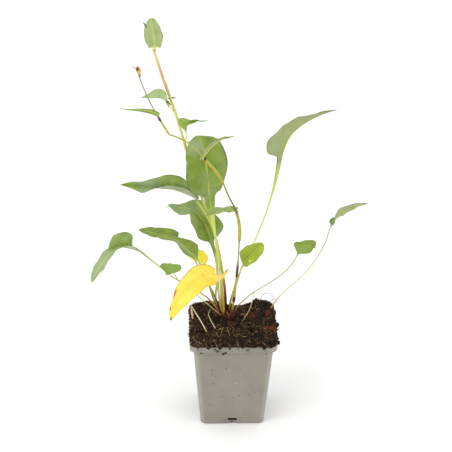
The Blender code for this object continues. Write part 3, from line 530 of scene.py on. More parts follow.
def strewn(name, build, form, density, size, smallest, tilt, lift, darkest, lightest, seed):
    """A piece of peat made of small shapes strewn over the heap, with its sizes in millimetres.

    Each copy has its own turn, size, proportions and tone.
    """
    tree = bpy.data.node_groups.new(name, "GeometryNodeTree")
    for way in ("INPUT", "OUTPUT"):
        tree.interface.new_socket(name="Geometry", in_out=way, socket_type="NodeSocketGeometry")
    heap = add(tree, "NodeGroupInput")
    points = add(tree, "GeometryNodeDistributePointsOnFaces",
                 {"Mesh": heap, "Density": density * PER_SQUARE_METRE, "Seed": seed})
    turn = add(tree, "FunctionNodeRandomValue",
               {0: (-tilt, -tilt, -math.pi), 1: (tilt, tilt, math.pi), "Seed": seed},
               data_type="FLOAT_VECTOR")
    draw = add(tree, "FunctionNodeRandomValue", {2: 0.0, 3: 1.0, "Seed": seed}, data_type="FLOAT")
    skewed = add(tree, "Math", {0: draw, 1: 2.0}, operation="POWER")
    length = add(tree, "MapRange", {0: skewed, 3: smallest * size * MM, 4: size * MM})
    uneven = add(tree, "FunctionNodeRandomValue", {0: SLIMMEST, 1: STOUTEST, "Seed": seed},
                 data_type="FLOAT_VECTOR")
    stretch = add(tree, "VectorMath", {0: uneven, 3: length}, operation="SCALE")
    copies = add(tree, "GeometryNodeInstanceOnPoints",
                 {"Points": points, "Instance": build(tree, form), "Rotation": points.outputs["Rotation"],
                  "Scale": stretch})
    posed = add(tree, "GeometryNodeRotateInstances", {"Instances": copies, "Rotation": turn})
    placed = add(tree, "GeometryNodeTranslateInstances",
                 {"Instances": posed, "Translation": (0.0, 0.0, lift * MM), "Local Space": False})
    tone = add(tree, "FunctionNodeRandomValue", {2: darkest, 3: lightest, "Seed": seed}, data_type="FLOAT")
    for label, value in (("shade", tone), ("loose", 1.0)):
        placed = add(tree, "GeometryNodeStoreNamedAttribute", {"Geometry": placed, "Name": label, 3: value},
                     data_type="FLOAT", domain="INSTANCE")
    solid = add(tree, "GeometryNodeRealizeInstances", {0: placed})
    coated = add(tree, "GeometryNodeSetMaterial", {"Geometry": solid, "Material": peat_dark})
    add(tree, "NodeGroupOutput", {0: coated})
    made = bpy.data.objects.new(name, ground.copy())
    bpy.context.scene.collection.objects.link(made)
    made.modifiers.new("strew", "NODES").node_group = tree
    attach(settled(made), "root")


ground = bpy.data.meshes.new("heap_cover")
cover.to_mesh(ground)
cover.free()
rim_bits = bmesh.new()
tone_layer = rim_bits.verts.layers.float.new("shade")
loose_layer = rim_bits.verts.layers.float.new("loose")
darkest, lightest = RIM_CRUMB_TONES
for x, z, size in RIM_CRUMBS:
    for vert in bmesh.ops.create_icosphere(rim_bits, subdivisions=3, radius=size)["verts"]:
        vert[tone_layer] = darkest + (lightest - darkest) * noise.cell(Vector((x, z, 0.5)))
        vert[loose_layer] = 1.0
        lumps = noise.noise(vert.co * 1.3 / size + Vector((x, z, size)))
        vert.co *= 0.9 + RIM_CRUMB_ROUGHNESS * lumps
        seat = -RIM_WIDTH / 2 - 0.2 * size
        vert.co += Vector((x + 0.4 * vert.co.x, seat, z - RIM_CRUMB_FLATNESS * vert.co.z))
finished("rim_crumbs", rim_bits, [peat_dark])

# Each row: shape and its form, pieces on a square millimetre, length, share of the smallest,
# tilt, lift off the heap, range of tones and seed.
for row in (("peat_lumps", crumb_shape, 3, 0.012, 3.2, 0.5, 1.5, -0.6, 0.0, 0.35, 2),
            ("peat_crumbs", crumb_shape, 2, 0.07, 1.7, 0.4, 1.5, 0.0, 0.0, 0.6, 3),
            ("peat_grains", crumb_shape, 1, 0.34, 0.8, 0.35, 1.5, 0.2, 0.0, 0.85, 5),
            ("peat_fibres", fibre_shape, 0.35, 0.1, 3.4, 0.35, 0.5, 0.5, 0.2, 1.0, 8),
            ("peat_roots", fibre_shape, 0.8, 0.05, 4.2, 0.4, 0.8, 0.7, 0.25, 0.9, 11),
            ("peat_splinters", flake_shape, 0.5, 0.04, 2.2, 0.35, 0.6, 0.5, 0.15, 0.95, 17)):
    strewn(*row)


# Leaves from the crown
# Each is one piece: a long stalk that runs on as the pale midrib of a thin blade. The upper
# face is mid green with a faint bluish-grey painted sheen for the reflected sky, the underside paler and
# matt, with netted veins.
STALK_BASE = 1.1
STALK_TOP = 0.75
STALK_LEAD = 1.4
WING_START = 0.55
MIDRIB_HALF = 0.6
BLADE_HALF = 0.17
SWEEP_END = 0.2
HALF_BULGE = 0.06
HALF_STEPS = 9
BLADE_ROWS = 60
WEB_ROWS = 5
STALK_STEP = 3.0
STALK_FLAT = 0.72
FOOT_SWELL = 0.35
FOOT_REACH = 6.0
EASE_PASSES = 4
EASE_ROWS = 4
WAVE = (0.5, 3.0, 0.0)
QUILT_DEPTH = 0.14
QUILT_ROWS = 26
QUILT_LEAN = 5
CHANNEL_DEPTH = 0.15
CHANNEL_HALF = 0.7
KEEL_DEPTH = 1.1
SIDE_VEINS = 13.0
VEIN_LEAN = 0.24
RIB_HALF = 1.3
TISSUE_ROUGHNESS = 0.45
TISSUE_IOR = 1.42
UP = Vector((0.0, 0.0, 1.0))
FRONT = Vector((0.0, -1.0, 0.0))


class Path:
    """A smooth curve through a few points, read by its distance along the chords."""

    def __init__(self, points):
        self.points = [Vector(p) for p in points]
        self.marks = [0.0]
        for a, b in zip(self.points, self.points[1:]):
            self.marks.append(self.marks[-1] + (b - a).length)
        gaps = [b - a for a, b in zip(self.marks, self.marks[1:])]
        chords = [(b - a) / gap for a, b, gap in zip(self.points, self.points[1:], gaps)]
        slopes = [(chords[i - 1] * gaps[i] + chords[i] * gaps[i - 1]) / (gaps[i - 1] + gaps[i])
                  for i in range(1, len(chords))]
        ends = slopes or [chords[0]]
        self.slopes = [2 * chords[0] - ends[0]] + slopes + [2 * chords[-1] - ends[-1]]

    def length(self):
        return self.marks[-1]

    def at(self, distance):
        """The point and the unit direction at a distance from the start."""
        distance = min(max(distance, 0.0), self.length())
        i = 0
        while i < len(self.marks) - 2 and distance > self.marks[i + 1]:
            i += 1
        gap = self.marks[i + 1] - self.marks[i]
        u = (distance - self.marks[i]) / gap
        p0, p1 = self.points[i], self.points[i + 1]
        m0, m1 = self.slopes[i] * gap, self.slopes[i + 1] * gap
        point = (2 * u ** 3 - 3 * u ** 2 + 1) * p0 + (u ** 3 - 2 * u ** 2 + u) * m0
        point += (3 * u ** 2 - 2 * u ** 3) * p1 + (u ** 3 - u ** 2) * m1
        slope = (6 * u ** 2 - 6 * u) * (p0 - p1) + (3 * u ** 2 - 4 * u + 1) * m0 + (3 * u ** 2 - 2 * u) * m1
        return point, slope.normalized()


def between(values, t):
    """Value at t from 0 to 1 along an evenly spaced list."""
    place = min(max(t, 0.0), 1.0) * (len(values) - 1)
    i = min(int(place), len(values) - 2)
    return values[i] + (values[i + 1] - values[i]) * (place - i)


def square_to(direction, hint):
    """The part of a hint direction that is square to another, as a unit vector."""
    return (hint - hint.dot(direction) * direction).normalized()


def outline_at(t, outline):
    """Place along the blade and share of its half width, for t from base to tip."""
    sweep, shoulder, widest, point = outline
    along = t - sweep * max(0.0, 1.0 - t / SWEEP_END) ** 2
    if t < widest:
        return along, shoulder + (1.0 - shoulder) * math.sin(math.pi / 2 * t / widest)
    return along, max(0.0, math.cos(math.pi / 2 * (t - widest) / (1.0 - widest))) ** point


def blade_frame(direction, leaf, t):
    """Directions to the blade's right side and out of its upper face."""
    hint = leaf["facing"].lerp(leaf.get("tip_facing", leaf["facing"]), t)
    normal = square_to(direction, hint)
    side = direction.cross(normal)
    roll = math.radians(between(leaf["roll"], t))
    return (side * math.cos(roll) - normal * math.sin(roll),
            normal * math.cos(roll) + side * math.sin(roll))


def ring_places():
    """Places across the leaf from -1 to 1, once over the upper face and back under the lower one."""
    over = [(i - HALF_STEPS) / HALF_STEPS for i in range(2 * HALF_STEPS + 1)]
    return [(a, 1) for a in over] + [(a, -1) for a in reversed(over[1:-1])]


def blade_ring(path, start, leaf, t):
    """Points round one section of the blade."""
    length = path.length() - start
    point, direction = path.at(start + t * length)
    side, normal = blade_frame(direction, leaf, t)
    along, share = outline_at(t, leaf["outline"])
    shift = (along - t) * length * direction
    width = leaf["width"] * share
    rib = MIDRIB_HALF * (1.0 - 0.75 * t)
    thin = BLADE_HALF * (1.0 - 0.4 * t)
    wave, count, phase = leaf.get("wave", WAVE)
    points = []
    for a, face_sign in ring_places():
        s, hand = abs(a), 1 if a > 0 else -1
        angle = math.radians(between(leaf["right" if a > 0 else "left"], t))
        wide = width * between(leaf.get("right_share" if a > 0 else "left_share", (1, 1)), t)
        out = hand * side * math.cos(angle) + normal * math.sin(angle)
        face = normal * math.cos(angle) - hand * side * math.sin(angle)
        if s < 0.001:
            face = normal
        spot = point + shift * s + out * wide * s + face * wide * 4 * HALF_BULGE * s * (1 - s)
        ripple = math.sin(2 * math.pi * (count * t + phase + 0.17 * hand)) * s ** 2
        quilt = QUILT_DEPTH * math.sin(math.pi * (QUILT_ROWS * t - QUILT_LEAN * s)) * s * (1 - s) * 4
        spot += face * (wave * ripple * min(1.0, 3 * t + 0.2) * min(1.0, 5 * (1 - t)) + quilt)
        depth = thin * (1.0 - 0.75 * s ** 3) * (0.0 if s > 0.999 else 1.0)
        if face_sign > 0:
            spot += face * (depth - CHANNEL_DEPTH * rib * math.exp(-(s * wide / CHANNEL_HALF) ** 2))
        else:
            keel = KEEL_DEPTH * rib
            spot -= face * (depth + keel * math.exp(-(s * wide / (keel + CHANNEL_DEPTH)) ** 2))
        points.append(spot)
    return points


def stalk_ring(point, side, normal, radius, wing, wing_lift):
    """Points round a stalk, flattened on its upper side, with its sides drawn out into wings."""
    lift = math.radians(wing_lift)
    points = []
    for a, face_sign in ring_places():
        x = math.sin(math.pi / 2 * a)
        z = math.cos(math.pi / 2 * a) * (STALK_FLAT if face_sign > 0 else -1.0)
        wing_way = side * math.cos(lift) * (1 if x > 0 else -1) + normal * math.sin(lift)
        points.append(point + radius * x * side + wing * abs(x) ** 6 * wing_way + radius * z * normal)
    return points


def leaf_rings(leaf):
    """Rings of one leaf from its foot to its tip, each with its place along the leaf."""
    path = Path(leaf["path"])
    start = path.marks[leaf["attach"]]
    blade = path.length() - start
    rings = []
    if start > 0:
        base_radius = leaf.get("stalk", STALK_BASE)
        wing_width = leaf.get("wing", 0.0)
        sweep, shoulder = leaf["outline"][:2]
        top_radius = leaf.get("stalk_top", STALK_TOP)
        wing_start = leaf.get("wing_start", WING_START)
        notch = (top_radius + wing_width) * sweep * blade / (shoulder * leaf["width"])
        lead = min(max(STALK_LEAD, notch), start / 2)
        steps = max(3, round(start / STALK_STEP))
        normal = blade_frame(path.at(start)[1], leaf, 0.0)[1]
        for step in range(steps + 1):
            distance = (start - lead) * (1.0 - step / steps)
            t = distance / start
            point, direction = path.at(distance)
            normal = square_to(direction, normal)
            swell = leaf.get("foot", FOOT_SWELL) * math.exp(-distance / FOOT_REACH)
            radius = base_radius + (top_radius - base_radius) * t + swell
            wing = wing_width * max(0.0, (t - wing_start) / (1.0 - wing_start)) ** 2
            side = direction.cross(normal)
            ring = stalk_ring(point, side, normal, radius, wing, leaf.get("wing_lift", 0.0))
            rings.insert(0, (t - 1.0, ring))
        first = blade_ring(path, start, leaf, 0.0)
        low_place, low = rings[-1]
        for i in range(1, WEB_ROWS):
            t = i / WEB_ROWS
            rings.append((low_place * (1 - t), [a.lerp(b, t) for a, b in zip(low, first)]))
    junction = len(rings)
    for i in range(BLADE_ROWS):
        t = i / BLADE_ROWS
        rings.append((t, blade_ring(path, start, leaf, t)))
    for _ in range(EASE_PASSES):
        was = [ring for _, ring in rings]
        for r in range(max(1, junction - WEB_ROWS), junction + EASE_ROWS):
            eased = [(a + 2 * b + c) / 4 for a, b, c in zip(was[r - 1], was[r], was[r + 1])]
            rings[r] = (rings[r][0], eased)
    return rings, path.at(path.length())[0]


def grown_leaf(name, leaf, material):
    """The leaf's closed mesh, with its places along and across it and its upper face marked."""
    shape = bmesh.new()
    along_layer = shape.verts.layers.float.new("along")
    across_layer = shape.verts.layers.float.new("across")
    upper_layer = shape.faces.layers.float.new("upper")
    rings, tip = leaf_rings(leaf)
    made = []
    for place, ring in rings:
        made.append([shape.verts.new(p) for p in ring])
        for vert, (a, _) in zip(made[-1], ring_places()):
            vert[along_layer] = place
            vert[across_layer] = a
    count = len(made[0])
    for low, high in zip(made, made[1:]):
        for i in range(count):
            j = (i + 1) % count
            face = shape.faces.new((low[i], low[j], high[j], high[i]))
            face[upper_layer] = 1.0 if i < 2 * HALF_STEPS else 0.0
    shape.faces.new(made[0][::-1])
    point = shape.verts.new(tip)
    point[along_layer] = 1.0
    for i in range(count):
        face = shape.faces.new((made[-1][i], made[-1][(i + 1) % count], point))
        face[upper_layer] = 1.0 if i < 2 * HALF_STEPS else 0.0
    if shape.calc_volume(signed=True) < 0:
        bmesh.ops.reverse_faces(shape, faces=shape.faces)
    leaf_object = finished("fresh_" + name, shape, [material])
    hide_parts(name)


def leaf_finish(name, look, width):
    """Living leaf tissue under a thin wax, which gives a soft sheen; a bluish-grey painted sheen on the upper
    face stands for the reflected sky.

    The underside is paler. The midrib and side veins run light through the green. The real net of
    fine veins is closer than this one. The stalk has its own colours from foot to blade.
    """
    material, tree, shader = surface(name + "_tissue", TISSUE_ROUGHNESS, TISSUE_IOR)
    place = add(tree, "TexCoord").outputs["Object"]
    along = add(tree, "Attribute", attribute_name="along").outputs["Fac"]
    across = add(tree, "Attribute", attribute_name="across").outputs["Fac"]
    upper = add(tree, "Attribute", attribute_name="upper").outputs["Fac"]
    side = add(tree, "Math", {0: across}, operation="ABSOLUTE")
    patches = add(tree, "TexNoise", {"Vector": place, "Scale": per(11.76), "Detail": 4.0, "Roughness": 0.6})
    spread = add(tree, "MapRange", {0: patches, 1: 0.35, 2: 0.65})
    dark, light = [add(tree, "Mix", {0: upper, 6: below, 7: above}, data_type="RGBA")
                   for below, above in zip(look["under"], look["upper"])]
    last = add(tree, "Mix", {0: spread, 6: dark, 7: light}, data_type="RGBA")
    if "end" in look:
        tail_from, tail_full, tail_colour = look["end"]
        tail = add(tree, "MapRange", {0: along, 1: tail_from, 2: tail_full})
        last = add(tree, "Mix", {0: tail, 6: last, 7: tail_colour}, data_type="RGBA")
    lean = add(tree, "Math", {0: side, 1: VEIN_LEAN}, operation="MULTIPLY")
    climbed = add(tree, "Math", {0: along, 1: lean}, operation="SUBTRACT")
    counted = add(tree, "Math", {0: climbed, 1: SIDE_VEINS}, operation="MULTIPLY")
    phase = add(tree, "Math", {0: counted, 1: 1.0}, operation="PINGPONG")
    veins = add(tree, "MapRange", {0: phase, 1: 0.14, 2: 0.0})
    nets = add(tree, "TexVoronoi", {"Vector": place, "Scale": per(1.613)}, feature="DISTANCE_TO_EDGE")
    net = add(tree, "MapRange", {0: nets, 1: 0.12, 2: 0.0, 3: 0.0, 4: 0.35})
    lines = add(tree, "Math", {0: veins, 1: net}, operation="MAXIMUM")
    line_share = add(tree, "Math", {0: lines, 1: look.get("veins", 0.3)}, operation="MULTIPLY")
    last = add(tree, "Mix", {0: line_share, 6: last, 7: look["rib"]}, data_type="RGBA")
    rib_edge = RIB_HALF / width
    narrowing = add(tree, "MapRange", {0: along, 1: 0.0, 2: 1.0, 3: rib_edge, 4: rib_edge / 2})
    below = add(tree, "MapRange", {0: along, 1: 0.0, 2: -0.08, 3: 0.0, 4: 0.4})
    rib_reach = add(tree, "Math", {0: narrowing, 1: below}, operation="ADD")
    off_rib = add(tree, "Math", {0: side, 1: rib_reach}, operation="DIVIDE")
    ribbed = add(tree, "MapRange", {0: off_rib, 1: 1.0, 2: 0.45, 3: 0.0, 4: look.get("rib_share", 0.9)})
    last = add(tree, "Mix", {0: ribbed, 6: last, 7: look["rib"]}, data_type="RGBA")
    if "painted_sheen" in look:
        # Painted sheen: a bluish grey laid in patches over the upper face stands for the white sky reflected
        # in it.
        sheen_patches = add(tree, "TexNoise", {"Vector": place, "Scale": per(33.33), "Detail": 2.0})
        sheen_share = add(tree, "MapRange", {0: sheen_patches, 1: 0.4, 2: 0.7, 3: 0.0, 4: look["painted_sheen"]})
        sheen_on_upper = add(tree, "Math", {0: sheen_share, 1: upper}, operation="MULTIPLY")
        last = add(tree, "Mix", {0: sheen_on_upper, 6: last, 7: "#A3B3A2"}, data_type="RGBA")
    margin = add(tree, "MapRange", {0: side, 1: look.get("edge_from", 0.93), 2: 1.0, 3: 0.0, 4: 0.8})
    last = add(tree, "Mix", {0: margin, 6: last, 7: look["edge"]}, data_type="RGBA")
    for scale, low, high, strength, colour in look.get("marks", ()):
        cells = add(tree, "TexNoise", {"Vector": place, "Scale": scale, "Detail": 3.0, "Roughness": 0.65})
        mark = add(tree, "MapRange", {0: cells, 1: low, 2: high, 3: 0.0, 4: strength})
        last = add(tree, "Mix", {0: mark, 6: last, 7: colour}, data_type="RGBA")
    last = spotted(tree, place, last, look.get("spots", ()))
    stalk = add(tree, "MapRange", {0: along, 1: -1.0, 2: 0.0})
    stalk_colour = add(tree, "ValToRGB", {0: stalk}, ramp=look["stalk"])
    green_from = look.get("green_from", -0.03)
    on_blade = add(tree, "MapRange", {0: along, 1: green_from, 2: green_from * 0.6 + 0.02})
    final = add(tree, "Mix", {0: on_blade, 6: stalk_colour, 7: last}, data_type="RGBA")
    sunken = add(tree, "Math", {0: lines, 1: -1.0}, operation="MULTIPLY")
    coat(tree, shader, final, sunken, 0.35, 0.4)
    return material


def grown_leaves(leaves, looks):
    """Grow each leaf of a table with its own look."""
    for name, leaf in leaves.items():
        grown_leaf(name, leaf, leaf_finish(name, looks[name], leaf["width"]))


CROWN_LEAVES = {
    "leaf_broad": dict(
        path=[(-9, 4, 110), (-10, 4, 116), (-14, 3, 166), (-25, 6, 246), (-27, 6, 268), (-29, 7, 280),
              (-31, 9, 290), (-34, 12, 299), (-37, 17, 303), (-39, 22, 300), (-40, 27, 291)],
        attach=3, facing=FRONT, tip_facing=UP, roll=(15, 25, 20), left=(-5, 5, 5, -45, -60),
        right=(-5, 5, 5, 0, -10), left_share=(0.92, 1.08, 1.04, 0.99, 0.95, 0.78, 0.6, 0.5, 0.4),
        right_share=(0.75, 0.95, 1.0, 1.0), width=24.5, outline=(0.0, 0.7, 0.45, 0.7), wing=6.0),
    "leaf_left_long": dict(
        path=[(-10, 7, 110), (-12, 8, 117), (-16, 7, 165), (-20, 8, 202), (-27, 9, 219), (-35, 13, 231),
              (-39, 17, 235), (-50, 22, 239), (-59, 25, 241), (-78, 32, 240), (-93, 38, 239),
              (-104, 42, 239), (-116, 46, 238)],
        attach=6, facing=UP, roll=(-10, -35, -55), left=(80, 75, 25, 30), right=(65, 50, 70, 50),
        left_share=(0.5, 0.65, 1.0, 1.0), right_share=(0.85, 0.75, 1.0, 1.05, 0.95, 0.95, 0.95, 1.0, 1.0),
        width=15.0, outline=(0.05, 0.3, 0.2, 1.0), wing=1.0),
    "leaf_centre": dict(
        path=[(-11, 9, 110), (-14, 12, 113), (-16, 12, 152), (-19, 12, 178), (-23, 16, 190), (-31, 22, 208),
              (-42, 30, 217), (-48, 32, 218), (-57, 36, 217), (-65, 40, 218), (-69, 43, 212)],
        attach=4, facing=UP, roll=(-20, -20, -20), left=(20, 20, -5, -5), right=(20, 70, -5, -10),
        left_share=(1.05, 1.05, 0.95, 0.6, 1.2, 1.2, 1.0), width=17.5, outline=(0.0, 0.42, 0.15, 1.35),
        wing=2.0, wing_start=0.5),
    "leaf_left_back": dict(
        path=[(-10, 4, 109), (-13, 4, 117), (-30, -6, 159), (-59, -15, 204), (-69, -18, 209),
              (-82, -24, 216), (-89, -27, 219), (-95, -30, 222)],
        attach=3, facing=UP, roll=(-20, -20, -50), left=(40, 20, 10, 10), right=(60, 20, 10, 5),
        width=9.5, outline=(0.03, 0.8, 0.15, 0.75)),
    "leaf_left_front": dict(
        path=[(-11, 2, 110), (-15, 1, 118), (-33, -17, 176), (-38, -20, 186), (-48, -27, 199),
              (-52, -31, 206), (-60, -36, 215), (-69, -42, 220), (-79, -47, 225)],
        attach=3, facing=UP, roll=(40, 35, 55), left=(70, 25, -10, 15), right=(5, 40, 0, 0),
        width=11.0, outline=(0.0, 0.35, 0.15, 0.65)),
    "leaf_yellow_small": dict(
        path=[(-9, 1, 109), (-11, 0, 115), (-17, 0, 146), (-22, -2, 158), (-30, -5, 173), (-33, -5, 179),
              (-37, -4, 185), (-43, -2, 194)],
        attach=4, facing=FRONT, roll=(-30, -35, -40), left=(0, 15, 20, 20), right=(-5, 0, 15, 30),
        width=11.0, outline=(0.0, 0.3, 0.5, 1.05)),
    "leaf_yellow": dict(
        path=[(-9, -2, 110), (-9.5, -3, 121), (-10.5, -6, 137), (-11.5, -9, 150), (-11.3, -10.5, 158),
              (-9.5, -11.8, 164), (-7, -12.8, 168.5), (-6.2, -14.2, 169.6), (-7.2, -15.4, 168.2),
              (-10.7, -16.5, 164.6), (-15, -18.2, 163.2), (-20.5, -20.3, 163.6), (-31, -25, 167),
              (-38, -30, 167), (-46, -37, 161), (-54, -43, 152), (-60, -49, 143), (-64, -52, 132)],
        attach=11, facing=UP, roll=(-55, -50, -50), left=(20, 20, 25, 20), right=(20, 20, 20, 20),
        left_share=(0.75, 1.0, 1.0, 1.0), width=13.5, outline=(0.03, 0.72, 0.2, 0.8), wing=4.5,
        wing_start=0.76, stalk=1.2, stalk_top=0.8),
    "leaf_far_left": dict(
        path=[(-13, -1, 112), (-17, -3, 121), (-66, -29, 173), (-82, -38, 192), (-97, -45, 207),
              (-102.5, -47.8, 210.2), (-115, -54, 214), (-120, -56, 212), (-127, -61, 205), (-131, -63, 200),
              (-140, -68, 183)],
        attach=5, facing=UP, roll=(0, 15, -15), left=(25, 15, 0, 20), right=(75, 60, 0, 20),
        right_share=(0.95, 1.0, 0.85, 0.3, 0.6, 0.9, 1.0, 1.0, 1.0), width=15.0,
        outline=(0.0, 0.85, 0.1, 0.75), wing=3.4, wing_start=0.5, wing_lift=35, stalk=0.95),
    "leaf_tall_right": dict(
        path=[(-3, 8, 110), (-3, 9, 116), (1, 7, 137), (11, 8, 166), (22, 12, 190), (37, 20, 230),
              (47, 29, 267), (49, 32, 276), (53, 35, 288), (57, 37, 295), (64, 39, 302), (83, 43, 313),
              (105, 48, 319)],
        attach=7, facing=UP, roll=(-40, -40, -30, -20), left=(70, 70, 50, 20), right=(60, 60, 40, 5),
        left_share=(0.6, 0.5, 0.4, 0.5, 0.8),
        right_share=(1.2, 1.18, 0.82, 0.68, 0.74, 0.52, 0.44, 0.5, 0.7), width=18.0,
        outline=(0.03, 0.92, 0.1, 0.75), wing=4.5, wing_lift=75, stalk=1.0, stalk_top=0.8),
    "leaf_bright": dict(
        path=[(-4, 5, 110), (-3, 5, 118), (1, 0, 140), (4, -2, 150), (10, -12, 176), (16, -18, 187),
              (22, -22, 197), (28, -27, 206)],
        attach=4, facing=FRONT, roll=(-50, -35, -10), left=(20, 40, 35, 20), right=(35, 40, 30, 0),
        width=11.5, outline=(0.01, 0.3, 0.4, 0.6)),
    "leaf_small_right": dict(
        path=[(1, 3, 109), (4, 2, 118), (8, -1, 125), (54, -31, 180), (59, -36, 190), (63, -40, 201),
              (67, -43, 206), (78, -49, 218)],
        attach=5, facing=UP, roll=(-55, -50, -55), left=(15, 20, 10, 15), right=(20, 20, 10, 25),
        width=11.0, outline=(0.0, 0.3, 0.2, 0.6), stalk=0.65, stalk_top=0.6, foot=0.6),
    "leaf_small_left": dict(
        path=[(-11.3, -2.2, 110.5), (-13.5, -4.2, 114), (-17, -6.5, 118.5), (-36, -16.1, 141.2),
              (-54.7, -26, 162.4), (-58.1, -28.5, 168.8), (-60.3, -32, 177.2), (-63, -34.6, 185.2),
              (-63.6, -36, 188.2), (-63.9, -37.8, 188.9), (-64, -39.4, 187.6), (-64.7, -40.6, 184),
              (-68.2, -42.4, 178)],
        attach=10, facing=FRONT, roll=(0, 0, 0), left=(25, 20, 15, 15), right=(20, 15, 15, 15),
        left_share=(1.3, 1.0, 0.72, 0.6, 0.7), width=10.6, outline=(0.1, 0.75, 0.15, 1.25),
        stalk=0.6, stalk_top=0.5, foot=0.4),
}

STALK_GREEN = ((0.0, "#3E2014"), (0.04, "#54301C"), (0.07, "#B89E4C"), (0.25, "#CCCE66"), (0.7, "#CCD66E"),
               (1.0, "#B8C65E"))
STALK_RED = ((0.0, "#3A140C"), (0.13, "#5A2618"), (0.24, "#8E8A40"), (0.4, "#A4AC4E"), (1.0, "#A4B254"))
STALK_LIME = ((0.0, "#6A4428"), (0.1, "#B4905A"), (0.25, "#B4BC68"), (1.0, "#A8B862"))
STALK_ORANGE = ((0.0, "#6A3A20"), (0.12, "#B4804A"), (0.33, "#D0AA6A"), (0.48, "#DCD48C"), (0.66, "#CCD07C"),
                (0.82, "#A4B054"), (1.0, "#8EA03C"))
STALK_YELLOW = ((0.0, "#6A3C24"), (0.1, "#B8944A"), (0.4, "#CEC85C"), (1.0, "#CCCC5C"))
STALK_TALL = ((0.0, "#5A3420"), (0.1, "#A8883C"), (0.4, "#D2D67C"), (0.75, "#C2CC60"), (1.0, "#A8B64A"))
STALK_KINKED = ((0.0, "#6A3A20"), (0.1, "#B49A3C"), (0.6, "#C8B848"), (0.74, "#D8783A"), (0.8, "#EEC458"),
                (1.0, "#F4D878"))
GREEN_LOOK = dict(upper=("#57711F", "#6E872F"), under=("#85965A", "#98A66C"), rib="#B0BC5C", edge="#7C8C3C",
                  stalk=STALK_GREEN, painted_sheen=0.15, veins=0.08)
YELLOW_SPOTS = ((-58.5, -42.4, 161.6, 1.5, "#E28C3A"), (-59.3, -43.3, 159.9, 1.8, "#D4662C"),
                (-59.9, -44.2, 158.3, 1.9, "#CC5A2A"), (-60.6, -45.2, 156.6, 1.7, "#DC7A34"),
                (-61.2, -46.2, 155.0, 1.4, "#E89A44"), (-63.9, -50.6, 145.6, 1.6, "#C06A34"),
                (-64.3, -51.2, 143.8, 1.6, "#A8582E"), (-31.3, -25.0, 169.6, 1.0, "#C69A34"),
                (-36.0, -29.0, 166.0, 0.9, "#CCA03A"), (-44.3, -32.0, 173.0, 0.8, "#C89A3A"),
                (-27.5, -23.5, 172.0, 0.8, "#BF9036"), (-18.0, -21.0, 157.5, 1.6, "#C86A34"))
BRIGHT_SPOTS = ((15.7, -24.7, 184.9, 2.0, "#E4D63C"), (13.0, -17.0, 185.6, 0.9, "#7A6424"),
                (15.0, -20.0, 189.0, 0.7, "#8A6E28"), (19.5, -24.0, 194.0, 0.8, "#8C7A2A"))
# On the broad leaf: a bluish-grey painted sheen near the top, two dark spots of painted shade where the long
# leaf lies against it, and two lighter yellow-green patches.
BROAD_SHEEN_AND_SHADE_SPOTS = ((-39.0, 6.0, 297.0, 13.0, "#8C9E6E"), (-40.5, -1.0, 259.0, 7.5, "#72882A"),
               (-36.0, 1.5, 255.0, 7.0, "#748A2A"), (-22.0, 6.0, 262.0, 9.0, "#80963A"),
               (-16.0, 8.0, 285.0, 10.0, "#7E9236"))
CROWN_LOOKS = {
    "leaf_broad": dict(GREEN_LOOK, upper=("#667F1A", "#83992A"), painted_sheen=0.25, spots=BROAD_SHEEN_AND_SHADE_SPOTS,
                       green_from=-0.2),
    "leaf_left_long": dict(GREEN_LOOK, upper=("#748C36", "#8EA44E"), under=("#95A276", "#A7B28A"), painted_sheen=0.6),
    "leaf_centre": dict(GREEN_LOOK, upper=("#6C8424", "#889D3A"), under=("#8E9E60", "#A2AE74"), painted_sheen=0.3,
                        green_from=-0.3),
    "leaf_left_back": dict(GREEN_LOOK, upper=("#678018", "#82982A"), stalk=STALK_RED),
    "leaf_left_front": dict(GREEN_LOOK, upper=("#67811E", "#829830"), under=("#6E862A", "#879B3E"),
                            painted_sheen=0.25, stalk=STALK_RED),
    "leaf_yellow_small": dict(upper=("#FFF02C", "#FFF850"), under=("#FBE838", "#FFF44C"), rib="#FBF05A",
                              veins=0.1, edge="#E8D848", stalk=STALK_YELLOW),
    "leaf_yellow": dict(upper=("#F6D644", "#FCE65E"), under=("#FFEA7C", "#FFF09A"), rib="#F8E070",
                        rib_share=0.25, veins=0.1, edge="#FFE982", edge_from=0.97, spots=YELLOW_SPOTS,
                        stalk=STALK_KINKED, end=(0.93, 0.99, "#5A3418"),
                        marks=((34.0, 0.5, 0.75, 0.5, "#F2B83C"), (170.0, 0.66, 0.72, 0.7, "#C07830"),
                               (620.0, 0.66, 0.74, 0.5, "#B98A40"))),
    "leaf_far_left": dict(GREEN_LOOK, upper=("#6F872F", "#889E46"), under=("#93A072", "#A8B388"), painted_sheen=0.1,
                          veins=0.25, rib="#D8DEA4", green_from=-0.2, stalk=STALK_ORANGE,
                          end=(0.36, 0.4, "#8FA168")),
    "leaf_tall_right": dict(GREEN_LOOK, under=("#8C9A64", "#9AA675"), rib="#C4CC2C", green_from=-0.09,
                            stalk=STALK_TALL),
    "leaf_bright": dict(GREEN_LOOK, upper=("#8AA12A", "#A2B436"), under=("#98AC3A", "#AABA4A"), painted_sheen=0.0,
                        spots=BRIGHT_SPOTS, stalk=STALK_YELLOW),
    "leaf_small_right": dict(GREEN_LOOK, rib="#8FA048", under=("#748C2C", "#879C3A"), painted_sheen=0.1,
                             stalk=STALK_LIME),
    "leaf_small_left": dict(GREEN_LOOK, upper=("#74902F", "#86A040"), rib="#8AA048", painted_sheen=0.05,
                            stalk=STALK_LIME),
}
grown_leaves(CROWN_LEAVES, CROWN_LOOKS)


